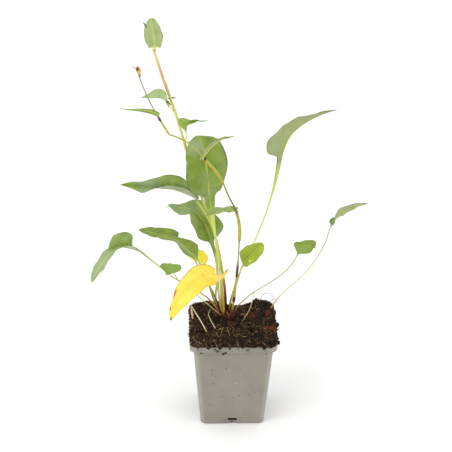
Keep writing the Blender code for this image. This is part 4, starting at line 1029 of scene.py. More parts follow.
# Leaf beside the crown
# One leaf rises from the peat itself at the far right, on a long thin stalk whose foot is thick
# and orange-brown. Its narrow blade is turned over, so that its pale underside shows.
FAR_RIGHT_LEAF = dict(
    path=[(38, 27, 97), (42, 28, 105), (85, 35, 153), (97, 39, 174), (104, 42, 195), (107, 44, 199),
          (116, 46, 205), (134, 51, 212), (142, 54, 213)],
    attach=4, facing=UP, roll=(-15, -50, -60), left=(15, 0, 15, 10), right=(5, 45, 25, 15),
    width=8.5, outline=(0.0, 0.6, 0.2, 0.85), stalk=0.75, stalk_top=0.6, foot=1.2)
STALK_FOOTED = ((0.0, "#7A4220"), (0.08, "#B07A40"), (0.2, "#D8D490"), (0.55, "#D2CE90"), (0.78, "#C4A888"),
                (1.0, "#B0A478"))
FAR_RIGHT_LOOK = dict(GREEN_LOOK, under=("#8E9F68", "#A1AD7A"), edge="#A08850", stalk=STALK_FOOTED)
grown_leaves({"leaf_far_right": FAR_RIGHT_LEAF}, {"leaf_far_right": FAR_RIGHT_LOOK})


# Tall stem
# One leafy stem from the crown, reddish at the foot and yellow-green above, with a pinkish papery
# sheath below its top leaf. Three small leaves grow from the joints, two of them with their pale
# underside to the front, and their drying margins roll up into thick dark curls.
TALL_STEM = [(-7, 9, 110), (-8, 9, 136), (-11, 9, 158), (-17, 11, 190), (-25, 14, 218), (-33, 18, 238),
             (-48, 19, 288), (-57, 20, 321), (-72, 22, 366), (-79, 22, 389)]
TALL_STEM_RADII = [(0.0, 1.4), (0.3, 1.3), (0.62, 1.3), (0.64, 1.6), (0.67, 1.4), (0.76, 1.4), (0.78, 1.6),
                   (0.82, 1.3), (0.84, 1.2), (0.86, 1.25), (1.0, 1.35)]
CURLED_EDGES = (
    ((-88.9, 14, 420.1), (-87.6, 15, 417.8), (-86.6, 16, 415.4), (-85.1, 17, 411.8)),
    ((-68.2, 19, 341.2), (-66.2, 17.5, 338.8), (-64.2, 17.6, 336.6), (-63.4, 18, 334.8)),
    ((-66.0, 18, 342.0), (-62.6, 22, 340.6), (-60.7, 24, 340.4), (-58.5, 24, 340.0)),
)
CURL_RADII = ((0.0, 0.35), (0.45, 1.05), (1.0, 0.5))
CURL_STEPS = 14
CURL_SIDES = 8
STEM_SIDES = 16
STEM_ROUGHNESS = 0.42
TALL_STEM_STEPS = 200
TALL_SHEATHS = ((0.835, 0.99, 1.5, 0.8),)
SHEATH_WALL = 0.22
SHEATH_SIDES = 20
SHEATH_STEPS = 14
SHEATH_NECK = 0.86
SHEATH_TEAR = 0.35
SHEATH_CREASE = 0.14
TALL_STEM_LEAVES = {
    "tall_stem_leaf_top": dict(
        path=[(-79, 22, 390), (-78.4, 20.5, 395), (-78.6, 18, 402), (-80, 15, 412), (-81, 12, 425)],
        attach=1, facing=FRONT, roll=(195, 195), left=(-10, 15, 20, 30), right=(0, 15, 25, 25),
        width=9.3, outline=(0.1, 0.6, 0.3, 0.5), stalk=1.4, stalk_top=1.1),
    "tall_stem_leaf_left": dict(
        path=[(-59, 20, 326), (-63.5, 18, 332.5), (-67, 16.5, 338.6), (-70, 15, 342.2), (-73, 13.5, 344.3),
              (-77.5, 11, 345.3), (-84, 8, 346), (-92, 4, 348)],
        attach=2, facing=UP, roll=(10, 10, 5), left=(-40, -25, 85, 85, 85, 80, 80), right=(50, 20, 15, 20),
        right_share=(0.4, 0.8, 1.0, 1.0), width=8.6, outline=(0.16, 0.7, 0.35, 1.1),
        stalk=0.6, stalk_top=0.55, foot=0.0),
    "tall_stem_leaf_right": dict(
        path=[(-50, 19, 294), (-48, 16, 302), (-48, 13, 310), (-47, 11, 317), (-41, 7, 322),
              (-34, 3, 324), (-27, -2, 326)],
        attach=2, facing=FRONT, roll=(-55, -20, -20), left=(15, 45, 70, 60), right=(60, 50, 70, 55),
        left_share=(0.8, 1.0, 0.5, 0.4, 0.4), right_share=(0.3, 0.45, 0.4, 0.4, 0.4), width=10.0,
        outline=(0.03, 0.4, 0.25, 1.2), wing=1.5, stalk=0.6, stalk_top=0.6, foot=0.0),
}


def tube(shape, path, radius_at, steps, sides, layer):
    """A closed round stem along a path, with its radius from a function of the share."""
    rings = []
    normal = square_to(path.at(0.0)[1], FRONT)
    for step in range(steps + 1):
        t = step / steps
        point, direction = path.at(t * path.length())
        normal = square_to(direction, normal)
        across = direction.cross(normal)
        ring = []
        for i in range(sides):
            angle = 2 * math.pi * i / sides
            out = math.cos(angle) * across + math.sin(angle) * normal
            ring.append(shape.verts.new(point + radius_at(t) * out))
            ring[-1][layer] = t
        rings.append(ring)
    closed_skin(shape, rings)


def sheath(shape, path, start, end, radius, layer, seed):
    """A thin papery tube round a stem, open and ragged at its upper end."""
    normal = square_to(path.at(start * path.length())[1], FRONT)
    walls = ([], [])
    for step in range(SHEATH_STEPS + 1):
        share = step / SHEATH_STEPS
        fullness = SHEATH_NECK + (1.0 - SHEATH_NECK) * math.sin(math.pi * min(1.0, 0.15 + share))
        for surface_rings, inset in zip(walls, (0.0, SHEATH_WALL)):
            ring = []
            for i in range(SHEATH_SIDES):
                angle = 2 * math.pi * i / SHEATH_SIDES
                tear = noise.noise(Vector((math.cos(angle) * 2.1, math.sin(angle) * 2.1, seed)))
                t = start + (end - start) * share * (1.0 + SHEATH_TEAR * tear * share)
                point, direction = path.at(t * path.length())
                normal = square_to(direction, normal)
                across = direction.cross(normal)
                crease = SHEATH_CREASE * noise.noise(Vector((angle, 9.0 * share, seed)))
                reach = radius * fullness + crease - inset
                out = math.cos(angle) * across + math.sin(angle) * normal
                ring.append(shape.verts.new(point + reach * out))
                ring[-1][layer] = share
            surface_rings.append(ring)
    outer, inner = walls
    bridge(shape, outer)
    bridge(shape, [ring[::-1] for ring in inner])
    bridge(shape, [outer[-1], inner[-1]])
    bridge(shape, [inner[0], outer[0]])


def radius_along(marks):
    """A function of the share of the length that reads (share, radius) marks."""
    def radius_at(t):
        for (t0, r0), (t1, r1) in zip(marks, marks[1:]):
            if t <= t1:
                return r0 + (r1 - r0) * (t - t0) / (t1 - t0)
        return marks[-1][1]

    return radius_at


def stem_finish(name, ramp, freckle):
    """Smooth stem skin: a soft narrow gloss, tones that shift along it, and small freckles.

    The freckles are coarser than real ones.
    """
    material, tree, shader = surface(name, STEM_ROUGHNESS, TISSUE_IOR)
    place = add(tree, "TexCoord").outputs["Object"]
    along = add(tree, "Attribute", attribute_name="along").outputs["Fac"]
    unevenness = add(tree, "TexNoise", {"Vector": place, "Scale": per(16.67), "Detail": 3.0})
    jitter = add(tree, "MapRange", {0: unevenness, 3: -0.05, 4: 0.05})
    placed = add(tree, "Math", {0: along, 1: jitter}, operation="ADD")
    colour = add(tree, "ValToRGB", {0: placed}, ramp=ramp)
    freckles = add(tree, "TexNoise", {"Vector": place, "Scale": per(1.111), "Detail": 2.0})
    spots = add(tree, "MapRange", {0: freckles, 1: 0.6, 2: 0.7, 3: 0.0, 4: 0.5})
    coat(tree, shader, add(tree, "Mix", {0: spots, 6: colour, 7: freckle}, data_type="RGBA"))
    return material


def fibrous_finish(name, roughness, ior, scale, ramp, strength=0.0):
    """Thin sheath tissue, streaked lengthwise by its fibres, in three tones."""
    material, tree, shader = surface(name, roughness, ior)
    place = add(tree, "TexCoord").outputs["Object"]
    drawn_out = add(tree, "Mapping", {"Vector": place, "Scale": scale})
    streaks = add(tree, "TexNoise", {"Vector": drawn_out, "Scale": 1.0, "Detail": 3.0})
    colour = add(tree, "ValToRGB", {0: streaks}, ramp=ramp)
    coat(tree, shader, colour, streaks if strength else None, strength, 0.2)
    return material


def grown_stem(name, points, marks, steps, material):
    """A stem or straw of the part along its points, with its radius from its marks."""
    shape = bmesh.new()
    layer = shape.verts.layers.float.new("along")
    tube(shape, Path(points), radius_along(marks), steps, STEM_SIDES, layer)
    piece = finished("fresh_" + name, shape, [material])
    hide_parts(name)


def sheaths_on(name, points, rows, material):
    """All the sheaths of one kind on a stem, each from its start, end, radius and seed."""
    shape = bmesh.new()
    layer = shape.verts.layers.float.new("shade")
    for start, end, radius, seed in rows:
        sheath(shape, Path(points), start, end, radius, layer, seed)
    finished(name, shape, [material])


TALL_STEM_TONES = ((0.05, "#5A2414"), (0.09, "#8A4A2A"), (0.12, "#A89A48"), (0.17, "#BCC05A"),
                   (0.8, "#CCD068"), (1.0, "#D4C880"))
stem_skin = stem_finish("tall_stem_skin", TALL_STEM_TONES, "#BCA85C")
grown_stem("tall_stem", TALL_STEM, TALL_STEM_RADII, TALL_STEM_STEPS, stem_skin)

# A fresh sheath is thin and half clear: it looks pinkish and pale, with a faint sheen.
fresh_papery = fibrous_finish("fresh_papery_sheath", 0.6, TISSUE_IOR, (1100.0, 1100.0, 120.0),
                              ((0.35, "#BC8C68"), (0.5, "#CFA878"), (0.62, "#D6C878")))
sheaths_on("tall_stem_sheaths", TALL_STEM, TALL_SHEATHS, fresh_papery)
TALL_LOOKS = {
    "tall_stem_leaf_top": dict(GREEN_LOOK, under=("#93A668", "#A8B87C"), rib="#BCC86C", veins=0.2),
    "tall_stem_leaf_left": dict(GREEN_LOOK, under=("#9AAE70", "#B0C088"), painted_sheen=0.0),
    "tall_stem_leaf_right": dict(GREEN_LOOK, upper=("#88A43A", "#A2B852"), under=("#9CB070", "#AEBE86"),
                                 painted_sheen=0.0),
}
grown_leaves(TALL_STEM_LEAVES, TALL_LOOKS)
shape = bmesh.new()
layer = shape.verts.layers.float.new("along")
for curl in CURLED_EDGES:
    tube(shape, Path(curl), radius_along(CURL_RADII), CURL_STEPS, CURL_SIDES, layer)

# The back of a rolled margin is dull and darker than the blade.
dark_curl = stem_finish("curled_leaf_edge", ((0.0, "#5E7440"), (0.5, "#6E8A3E"), (1.0, "#54693A")), "#4A5C34")
finished("curled_leaf_edges", shape, [dark_curl])


# Flower stem
# A thin curved stem with a closed bud. Yellow-green sheaths hug it below each of its three narrow
# leaves. Short dark brown dry ones end them, and two more cling to the stem low down.
FLOWER_STEM = [(-1, 1, 110), (3, -6, 154), (5, -8, 190), (5, -9, 218), (2, -9, 232), (-6, -9, 249),
               (-13, -9, 266), (-30, -11, 290), (-42, -13, 304), (-61, -15.5, 315.7), (-64.5, -16, 317.2),
               (-66, -16.4, 319.8), (-74, -18, 334), (-86, -22, 360), (-92, -24, 377.5)]
FLOWER_STEM_RADII = [(0.0, 1.2), (0.055, 1.15), (0.07, 1.35), (0.085, 1.15), (0.16, 1.15), (0.17, 1.0),
                     (0.205, 0.9), (0.215, 0.7), (0.295, 0.7), (0.305, 1.4), (0.4, 1.35), (0.415, 0.9),
                     (0.515, 0.8), (0.525, 1.45), (0.62, 1.35), (0.635, 0.9), (0.77, 0.8), (0.785, 0.9),
                     (0.855, 0.9), (0.865, 0.6), (1.0, 0.55)]
GREEN_SHEATHS = ((0.302, 0.405, 1.7, 1.1), (0.523, 0.622, 1.7, 1.4), (0.783, 0.832, 1.1, 1.7))
DRY_SHEATHS = ((0.162, 0.21, 1.25, 2.3), (0.06, 0.082, 1.6, 2.6), (0.403, 0.416, 1.4, 2.9),
               (0.624, 0.635, 1.6, 3.1), (0.834, 0.852, 1.15, 3.4))
FLOWER_STEM_STEPS = 220
FLOWER_STEM_LEAVES = {
    "flower_stem_leaf_upper": dict(
        path=[(-74.5, -21.6, 338.4), (-79, -21, 341), (-84, -19, 342), (-90, -16, 342), (-98, -12, 341),
              (-105, -9, 340), (-112, -5, 340)],
        attach=0, facing=UP, roll=(-15, -10, 0), left=(10, 0, 0, 5), right=(15, 0, 0, 5),
        width=3.8, outline=(0.0, 1.0, 0.05, 0.95), wave=(0.0, 3.0, 0.0)),
    "flower_stem_leaf_middle": dict(
        path=[(-31.5, -13, 289.5), (-30.1, -14, 294.1), (-26.9, -17, 299.1), (-25, -20, 303.8),
              (-21, -24, 309.2), (-16.2, -28, 314.8), (-12.3, -32, 318.6), (-7.6, -34, 320.4),
              (-2.2, -36, 323.1)],
        attach=0, facing=UP, roll=(-20, -20, -10), left=(75, 75, 70, 40), right=(75, 75, 60, 20),
        left_share=(1.0, 0.95, 0.8, 0.6, 0.9, 1.0), right_share=(1.0, 0.95, 0.8, 0.5, 0.9, 1.0), width=5.2,
        outline=(0.05, 0.75, 0.25, 0.75), wave=(0.1, 3.0, 0.0)),
    "flower_stem_leaf_lower": dict(
        path=[(1, -10, 233), (-9, -14, 235), (-15, -17, 236), (-22, -20, 236), (-29, -23, 234)],
        attach=0, facing=UP, roll=(-5, -5, -45), left=(25, 15, 15, 10), right=(60, 0, 50, 55),
        width=6.3, outline=(0.1, 0.6, 0.25, 0.85)),
}

FLOWER_STEM_TONES = ((0.0, "#8A6A34"), (0.04, "#A8A048"), (0.19, "#B0B048"), (0.24, "#8EA040"),
                     (0.45, "#6E8238"), (0.6, "#A0A848"), (0.8, "#A8A84C"), (0.88, "#7E9444"),
                     (1.0, "#8A9A50"))
flower_skin = stem_finish("flower_stem_skin", FLOWER_STEM_TONES, "#8E6A38")
grown_stem("flower_stem", FLOWER_STEM, FLOWER_STEM_RADII, FLOWER_STEM_STEPS, flower_skin)

# A living sheath is smooth and yellowish green, with fine paler ribs.
sheath_green = fibrous_finish("fresh_green_sheath", 0.5, TISSUE_IOR, (1300.0, 1300.0, 150.0),
                              ((0.32, "#94862E"), (0.5, "#ACA63C"), (0.7, "#C0BC54")))
sheaths_on("flower_stem_green_sheaths", FLOWER_STEM, GREEN_SHEATHS, sheath_green)

# A sheath that has dried on the stem is matt, dark reddish brown and ribbed by its fibres.
papery = fibrous_finish("dry_papery_sheath", 0.7, PLAIN_IOR, (1500.0, 1500.0, 160.0),
                        ((0.35, "#34160F"), (0.55, "#54271A"), (0.72, "#7A462C")), 0.5)
sheaths_on("flower_stem_dry_sheaths", FLOWER_STEM, DRY_SHEATHS, papery)
FLOWER_LOOKS = {
    "flower_stem_leaf_upper": dict(GREEN_LOOK, upper=("#6E8630", "#879C44"), painted_sheen=0.0),
    "flower_stem_leaf_middle": dict(GREEN_LOOK, under=("#8A9460", "#9CA470"), edge="#96804C",
                                    end=(0.7, 0.9, "#7E9A3C")),
    "flower_stem_leaf_lower": dict(GREEN_LOOK, upper=("#80944E", "#9CAC66"), painted_sheen=0.1),
}
grown_leaves(FLOWER_STEM_LEAVES, FLOWER_LOOKS)


# Flower bud
# A closed spindle of small overlapping bracts, orange-brown with a dark red side, on the tip of
# the thin stem. A dried thread curls from its point.
FLOWER_BUD = [(-92, -24, 378), (-92.7, -24, 382.5), (-93.6, -24.6, 387)]
FLOWER_BUD_RADII = [(0.0, 0.6), (0.3, 1.2), (0.6, 2.1), (0.8, 2.0), (1.0, 0.6)]
BUD_THREAD = [(-93.4, -24.8, 385.2), (-94.6, -25.0, 386.6), (-96.4, -25.4, 387.6), (-98.3, -26.0, 389.8)]
BRACT_ROWS = 6
BRACTS_ROUND = 5
BUD_THREAD_RADII = ((0.0, 0.45), (0.5, 0.3), (1.0, 0.4))
BUD_STEPS = 24
THREAD_STEPS = 14
THREAD_SIDES = 6
THREAD_TONE = 0.1
BRACT_TONE = 0.32
BRACT_CONTRAST = 0.3
BRACT_HALF = (1.0, 0.45, 1.9)
BRACT_TAPER = 0.35
BRACT_LEAN = 0.25
BRACT_SEAT = 0.8
BRACT_LIFT = 1.1
RED_SIDE = 2.6

# Closed bracts have a dry, slightly shiny skin, warm orange-brown with one dark red side.
bud_skin, tree, shader = surface("closed_bud_bracts", 0.55, TISSUE_IOR)
place = add(tree, "TexCoord").outputs["Object"]
shade = add(tree, "Attribute", attribute_name="along").outputs["Fac"]
tones = add(tree, "TexNoise", {"Vector": place, "Scale": per(2.381), "Detail": 2.0})
summed = add(tree, "Math", {0: shade, 1: tones}, operation="ADD")
bracts = add(tree, "ValToRGB", {0: summed},
             ramp=((0.5, "#6A281C"), (0.72, "#9A5A34"), (0.95, "#B89A4C"), (1.1, "#C6B660")))
coat(tree, shader, bracts)
shape = bmesh.new()
layer = shape.verts.layers.float.new("along")
spindle = Path(FLOWER_BUD)
bud_radius = radius_along(FLOWER_BUD_RADII)
tube(shape, spindle, bud_radius, BUD_STEPS, STEM_SIDES, layer)
wide, thick, tall = BRACT_HALF
for row in range(BRACT_ROWS):
    for turn in range(BRACTS_ROUND):
        t = (row + 0.3) / BRACT_ROWS
        angle = 2 * math.pi * (turn + 0.5 * (row % 2)) / BRACTS_ROUND
        point, direction = spindle.at(t * spindle.length())
        normal = square_to(direction, FRONT)
        out = math.cos(angle) * direction.cross(normal) + math.sin(angle) * normal
        middle = point + out * bud_radius(t) * BRACT_SEAT + direction * BRACT_LIFT
        side = direction.cross(out)
        for vert in bmesh.ops.create_icosphere(shape, subdivisions=2, radius=1.0)["verts"]:
            x, y, z = vert.co
            across = side * x * wide * (1 - BRACT_TAPER * z)
            vert.co = middle + across + out * (y * thick + z * BRACT_LEAN) + direction * z * tall
            vert[layer] = BRACT_TONE - BRACT_CONTRAST * math.cos(angle - RED_SIDE)
whole_bud = len(shape.verts)
tube(shape, Path(BUD_THREAD), radius_along(BUD_THREAD_RADII), THREAD_STEPS, THREAD_SIDES, layer)
shape.verts.ensure_lookup_table()
for vert in shape.verts[whole_bud:]:
    vert[layer] = THREAD_TONE
piece = finished("bud_spindle", shape, [bud_skin])
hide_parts("flower_bud")


# Crown
# The stalks rise from one tight bundle of old, dried leaf bases. They are flat reddish-brown
# strips that stand close together, frayed at the top, with dark fibres between them.
CROWN_X = -6.3
CROWN_Y = 3.5
CROWN_DEPTH_SHARE = 0.88
CROWN_PROFILE = ((98, 3.0), (101, 4.6), (104.5, 6.2), (108, 7.8), (112, 9.0), (116, 8.8), (121, 7.4))
CROWN_FOOT = 98.0
CROWN_CORE = 113.0
CORE_ROWS = 33
CORE_SIDES = 64
CORE_INSET = 0.6
CORE_DOME = 1.02
CORE_RIBS = 11
CORE_RIB = 0.05
CORE_UNEVENNESS = 0.08
CORE_PAINTED_SHADE = 0.15
CROWN_OUTER = 0.45
CROWN_STRIPS = 132
STRIP_STEPS = 9
STRIP_FOOT = (99.5, 104.5)
STRIP_TOP = (112.0, 121.0)
STRIP_HALF = (0.6, 1.5)
STRIP_DEPTH = (0.25, 1.05)
STRIP_LEAN = (-0.175, 0.175)
STRIP_SHIFT = 0.4
STRIP_SINK = 0.85
STRIP_FLARE = 0.5
STRIP_RAGGED = 0.12
STRIP_THICKNESS = 0.32
STRIP_SECTION = ((-1, 0), (-0.5, -0.7), (0.5, -0.7), (1, 0), (0.5, 1), (-0.5, 1))
CROWN_HAIRS = 150
HAIR_FOOT = (99.0, 111.0)
HAIR_RISE = (2.0, 7.0)
HAIR_BEND = (-1.5, 1.5)
HAIR_REACH = (0.4, 2.0)
HAIR_BOW = (-0.28, 1.12)
HAIR_RADII = ((0.0, 0.16), (1.0, 0.06))
HAIR_STEPS = 7
HAIR_SIDES = 4


def crown_half(z):
    """Half width of the bundle at a height."""
    for (z0, r0), (z1, r1) in zip(CROWN_PROFILE, CROWN_PROFILE[1:]):
        if z <= z1:
            return r0 + (r1 - r0) * max(0.0, z - z0) / (z1 - z0)
    return CROWN_PROFILE[-1][1]


def chance(*numbers):
    """A repeatable number from 0 to 1 for two whole numbers."""
    spot = Vector([17.3 * n + 3.1 * i for i, n in enumerate(numbers + (0,))])
    return noise.cell(spot + Vector((0.5, 0.5, 0.5))) % 1.0


def within(limits, *numbers):
    """A repeatable number between two limits."""
    low, high = limits
    return low + (high - low) * chance(*numbers)


shape = bmesh.new()
layer = shape.verts.layers.float.new("shade")
rings = []
for step in range(CORE_ROWS + 1):
    z = CROWN_FOOT + (CROWN_CORE - CROWN_FOOT) * step / CORE_ROWS
    domed = math.sqrt(CORE_DOME - (step / CORE_ROWS) ** 6)
    rings.append([])
    for i in range(CORE_SIDES):
        angle = 2 * math.pi * i / CORE_SIDES
        unevenness = noise.noise(Vector((5 * math.cos(angle), 5 * math.sin(angle), z / 9)))
        rib = CORE_RIB * math.cos(CORE_RIBS * angle + z / 6) + CORE_UNEVENNESS * unevenness
        reach = (crown_half(z) - CORE_INSET) * (1.0 + rib) * domed
        rings[-1].append(shape.verts.new((CROWN_X + reach * math.cos(angle),
                                          CROWN_Y + CROWN_DEPTH_SHARE * reach * math.sin(angle), z)))
        # The core takes the darkest tone: painted shade that shows in the gaps between the strips.
        rings[-1][-1][layer] = CORE_PAINTED_SHADE
closed_skin(shape, rings)
for strip in range(CROWN_STRIPS):
    angle = 2 * math.pi * strip / CROWN_STRIPS + STRIP_SHIFT * chance(strip, 1)
    depth = within(STRIP_DEPTH, strip, 2)
    low = within(STRIP_FOOT, strip, 3)
    high = within(STRIP_TOP, strip, 4)
    half = within(STRIP_HALF, strip, 5)
    lean = within(STRIP_LEAN, strip, 6)
    inward = 1.0 - STRIP_SINK * max(0.0, chance(strip, 9) - CROWN_OUTER) / (1.0 - CROWN_OUTER)
    rings = []
    for step in range(STRIP_STEPS + 1):
        t = step / STRIP_STEPS
        z = low + (high - low) * t
        turned = angle + lean * t
        flare = STRIP_FLARE * t ** 3 * chance(strip, 7)
        reach = crown_half(z) * inward + depth * 0.6 - 0.2 + flare
        out = Vector((math.cos(turned), CROWN_DEPTH_SHARE * math.sin(turned), 0.0))
        middle = Vector((CROWN_X, CROWN_Y, z)) + reach * out
        out.normalize()
        side = Vector((-out.y, out.x, 0.0))
        wide = half * (1.0 - 0.7 * t ** 4)
        thick = STRIP_THICKNESS * (1.0 - 0.6 * t)
        ring = []
        for x, y in STRIP_SECTION:
            ragged = STRIP_RAGGED * noise.noise(middle * 1.7 + Vector((x, y, strip)))
            ring.append(shape.verts.new(middle + side * (x * wide + ragged) + out * (y * thick + ragged)))
            ring[-1][layer] = min(1.0, 0.15 + 0.55 * chance(strip, 8) + 0.3 * t)
        rings.append(ring)
    closed_skin(shape, rings)
for hair in range(CROWN_HAIRS):
    angle = 2 * math.pi * chance(hair, 11)
    low = within(HAIR_FOOT, hair, 12)
    out = Vector((math.cos(angle), math.sin(angle), 0.0))
    side = Vector((-out.y, out.x, 0.0))
    start = Vector((CROWN_X, CROWN_Y, low)) + out * (crown_half(low) + 0.2)
    rise = within(HAIR_RISE, hair, 13)
    bend = within(HAIR_BEND, hair, 14)
    end = start + out * within(HAIR_REACH, hair, 15) + UP * rise + side * bend
    middle = (start + end) / 2 + out * within(HAIR_BOW, hair, 16)
    line = Path([start - out * 0.8, start, middle, end])
    tube(shape, line, radius_along(HAIR_RADII), HAIR_STEPS, HAIR_SIDES, layer)

# Old leaf bases, dried on the plant: matt, streaked by their fibres and reddish brown. The core inside
# the bundle is nearly black: painted shade for the gaps between the strips.
bundle_brown, tree, shader = surface("dry_leaf_bases", 0.85, 1.35)
place = add(tree, "TexCoord").outputs["Object"]
drawn = add(tree, "Mapping", {"Vector": place, "Scale": (900.0, 900.0, 130.0)})
fibres = add(tree, "TexNoise", {"Vector": drawn, "Scale": 1.0, "Detail": 4.0, "Roughness": 0.65})
shade = add(tree, "Attribute", attribute_name="shade").outputs["Fac"]
spread = add(tree, "MapRange", {0: fibres, 1: 0.3, 2: 0.7, 3: -0.25, 4: 0.25})
toned = add(tree, "Math", {0: shade, 1: spread}, operation="ADD")
red_brown = add(tree, "ValToRGB", {0: toned},
                ramp=((0.0, "#150B08"), (0.3, "#30170E"), (0.6, "#4E281A"), (0.85, "#6E4229"),
                      (1.0, "#8C6442")))
coat(tree, shader, red_brown, fibres, 0.6, 0.3)
piece = finished("crown_bundle", shape, [bundle_brown])
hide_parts("crown")


# Loose straws and threads
# Dry stalks, a blade of grass and a dark twig lie or stand in the peat where they fell, with a few
# pale roots, pink husks and dark fibres that hang over the rim. Each is a thin bent tube, a little
# uneven in thickness, in its own dry colour.
THIN_PROFILE = ((0.0, 0.5), (0.3, 1.0), (0.6, 0.92), (0.8, 1.05), (1.0, 1.0))
THIN_STEPS = 60
STRAND_RADII = ((0.0, 0.2), (0.5, 0.27), (1.0, 0.15))
STRAND_STEPS = 16
STRAND_SIDES = 6
THIN_PIECES = {
    "straw_long": (((-44, -8, 128), (-38, -14, 120), (-33, -20, 114), (-26, -27, 103)), 0.55, "straw",
                   ((0.0, "#E2D6B4"), (0.5, "#E6D4B0"), (0.8, "#E0BE98"), (1.0, "#A8785A"))),
    "straw_short": (((-43, 8, 116), (-42, 7, 110), (-41, 6, 103)), 0.9, "straw",
                    ((0.0, "#E0B49C"), (0.6, "#E6CCB2"), (1.0, "#B89074"))),
    "grass_blade": (((-22, 0, 118), (-25, -4, 114), (-23, -9, 110), (-18, -18, 104), (-17, -20, 102)), 0.5,
                    "straw", ((0.0, "#8CA244"), (0.4, "#A6B468"), (0.6, "#D6C8A0"), (1.0, "#D8C4AC"))),
    "dry_thread": (((21, -13, 143), (20, -10, 134), (17, -8, 121), (12, -6, 110), (8, -7, 103), (6, -8, 101)),
                   0.5, "straw", ((0.0, "#98A04A"), (0.35, "#B0AC70"), (0.65, "#B8AC80"), (0.85, "#7A4A30"),
                                  (1.0, "#4A2A1C"))),
    "twig": (((-45, 33, 104), (-35, 36, 106), (-24, 33, 108), (-15, 28, 111)), 0.7, "twig",
             ((0.0, "#2A1B12"), (0.5, "#3C281B"), (1.0, "#33231A"))),
}
for name, (points, radius, slot, ramp) in THIN_PIECES.items():
    skin = stem_finish(name + "_skin", ramp, "#8A6A48")
    marks = [(share, radius * part) for share, part in THIN_PROFILE]
    grown_stem(name, points, marks, THIN_STEPS, skin)
STRAY_STRANDS = (
    ("pale_roots", ((0.0, "#B8AC50"), (0.5, "#A89A50"), (1.0, "#8A7448")), (
        ((-9.3, -16.7, 105.4), (-11.5, -24, 105.8), (-12.8, -33.3, 104.8)),
        ((-5.7, -16.7, 105.4), (-5.2, -26, 105.9), (-3.6, -33.3, 104.8)),
        ((-0.5, -16.7, 105.2), (0.4, -21, 105.6), (-0.3, -25.1, 104.8)),
        ((-18.2, -27.2, 105.2), (-16.6, -30, 105.6), (-18.0, -33, 104.8)),
        ((-30.1, 32.5, 105.8), (-25, 32.6, 107.2), (-20.6, 32.4, 106.0)),
        ((8, -34, 104.6), (12, -37, 105.4), (17, -36, 104.4)))),
    ("pink_husks", ((0.0, "#B08A86"), (1.0, "#9C7068")), (
        ((11.6, 17, 105.4), (12.8, 18.2, 106.2), (14, 18.6, 105.6)),
        ((9, 11, 105.4), (10.2, 11.7, 106.0), (11, 12.4, 105.4)),
        ((25.4, 19.8, 106.0), (27.5, 20.6, 107.2), (30, 20, 106.8)))),
    ("dark_fibres", ((0.0, "#3A2C20"), (0.5, "#8A7A6A"), (1.0, "#3E3024")), (
        ((31, 36, 107), (32.2, 36, 114), (36.4, 36, 117.4), (41.5, 36, 116.6), (44.2, 36, 112),
         (43, 36, 107)),
        ((41, 34, 107), (44, 33, 112), (46.5, 32, 111.5), (48, 30, 106)),
        ((-40, -40, 103), (-38, -44, 104.4), (-33, -46.6, 102.4), (-31, -46.4, 97.5)),
        ((-22, -41, 103.5), (-19, -45, 103.4), (-17, -46.4, 99), (-12, -46.2, 93)),
        ((-24, -42, 103), (-23, -45.6, 101.8), (-20, -46.3, 95), (-15, -46.1, 91.5)),
        ((2, -41, 103), (4, -45.3, 101.6), (5.5, -46.2, 96)),
        ((28, -41, 102.6), (31, -45.2, 101), (36, -46.2, 98.6)),
        ((-45, -30, 101), (-47, -27, 103), (-46, -22, 104.4)),
        ((44, -20, 103), (47.6, -18, 105), (48, -13, 102)))),
)
for name, ramp, strands in STRAY_STRANDS:
    shape = bmesh.new()
    layer = shape.verts.layers.float.new("along")
    for strand in strands:
        tube(shape, Path(strand), radius_along(STRAND_RADII), STRAND_STEPS, STRAND_SIDES, layer)
    finished(name, shape, [stem_finish(name + "_skin", ramp, "#5A4632")])


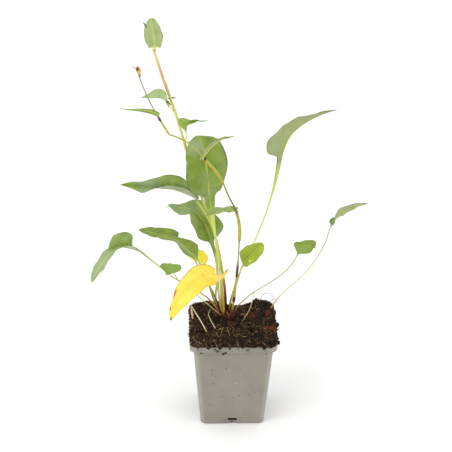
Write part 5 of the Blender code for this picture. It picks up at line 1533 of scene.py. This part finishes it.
# Bark chips
# Three flakes of conifer bark lie on the peat, reddish brown and layered, with worn edges.
CHIPS = {
    "bark_chip_middle": ((21, 7, 105.4), (14, 9, 1.8), (36, 0, 5), ("#201008", "#421F10", "#62341C")),
    "bark_chip_right": ((39, -15, 102.5), (17, 5, 1.8), (25, 14, 8), ("#2C1209", "#582A12", "#804520")),
    "bark_chip_back": ((37.5, 14, 105), (12, 7, 1.8), (50, 0, 70), ("#260E07", "#4A1E0C", "#74401C")),
}
CHIP_GRID = (26, 18)
CHIP_UNEVENNESS = 0.16
CHIP_EDGE = 0.35
CHIP_GROOVE = 0.3
for name, (centre, size, angles, shades) in CHIPS.items():
    shape = bmesh.new()
    turning = Euler([math.radians(angle) for angle in angles]).to_matrix()
    bmesh.ops.create_grid(shape, x_segments=CHIP_GRID[0], y_segments=CHIP_GRID[1], size=0.5)
    thick = bmesh.ops.extrude_face_region(shape, geom=shape.faces[:])["geom"]
    raised = {item for item in thick if isinstance(item, bmesh.types.BMVert)}
    for vert in shape.verts:
        x, y = vert.co.x * 2, vert.co.y * 2
        edge = Vector((x * math.sqrt(max(0.0, 1 - y * y / 2)), y * math.sqrt(max(0.0, 1 - x * x / 2)), 0.0))
        around = math.atan2(edge.y, edge.x)
        outline_spot = Vector((math.cos(around), math.sin(around), size[0])) * 1.6
        uneven = 1.0 + CHIP_UNEVENNESS * noise.noise(outline_spot)
        worn = max(0.0, 1.0 - edge.length ** 6)
        level = (0.5 if vert in raised else -0.5) * (CHIP_EDGE + (1.0 - CHIP_EDGE) * worn)
        spot = Vector((edge.x * size[0] / 2 * uneven, edge.y * size[1] / 2 * uneven, level * size[2]))
        grooves = noise.noise(Vector((spot.x * 0.25, spot.y * 1.3, spot.z + size[0])))
        spot.z += CHIP_GROOVE * grooves * worn
        vert.co = Vector(centre) + turning @ spot
    bmesh.ops.recalc_face_normals(shape, faces=shape.faces)

    # Conifer bark, split and damp: matt, dark in its grooves and reddish on its worn layers.
    bark, tree, shader = surface(name + "_surface", 0.9, 1.3)
    place = add(tree, "TexCoord").outputs["Object"]
    grains = add(tree, "TexNoise", {"Vector": place, "Scale": per(3.333), "Detail": 6.0, "Roughness": 0.7})
    layers = add(tree, "ValToRGB", {0: grains},
                 ramp=((0.32, shades[0]), (0.52, shades[1]), (0.72, shades[2])))
    coat(tree, shader, layers, grains, 0.7, 0.6)
    piece = finished("worn_" + name, shape, [bark])
    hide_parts(name)
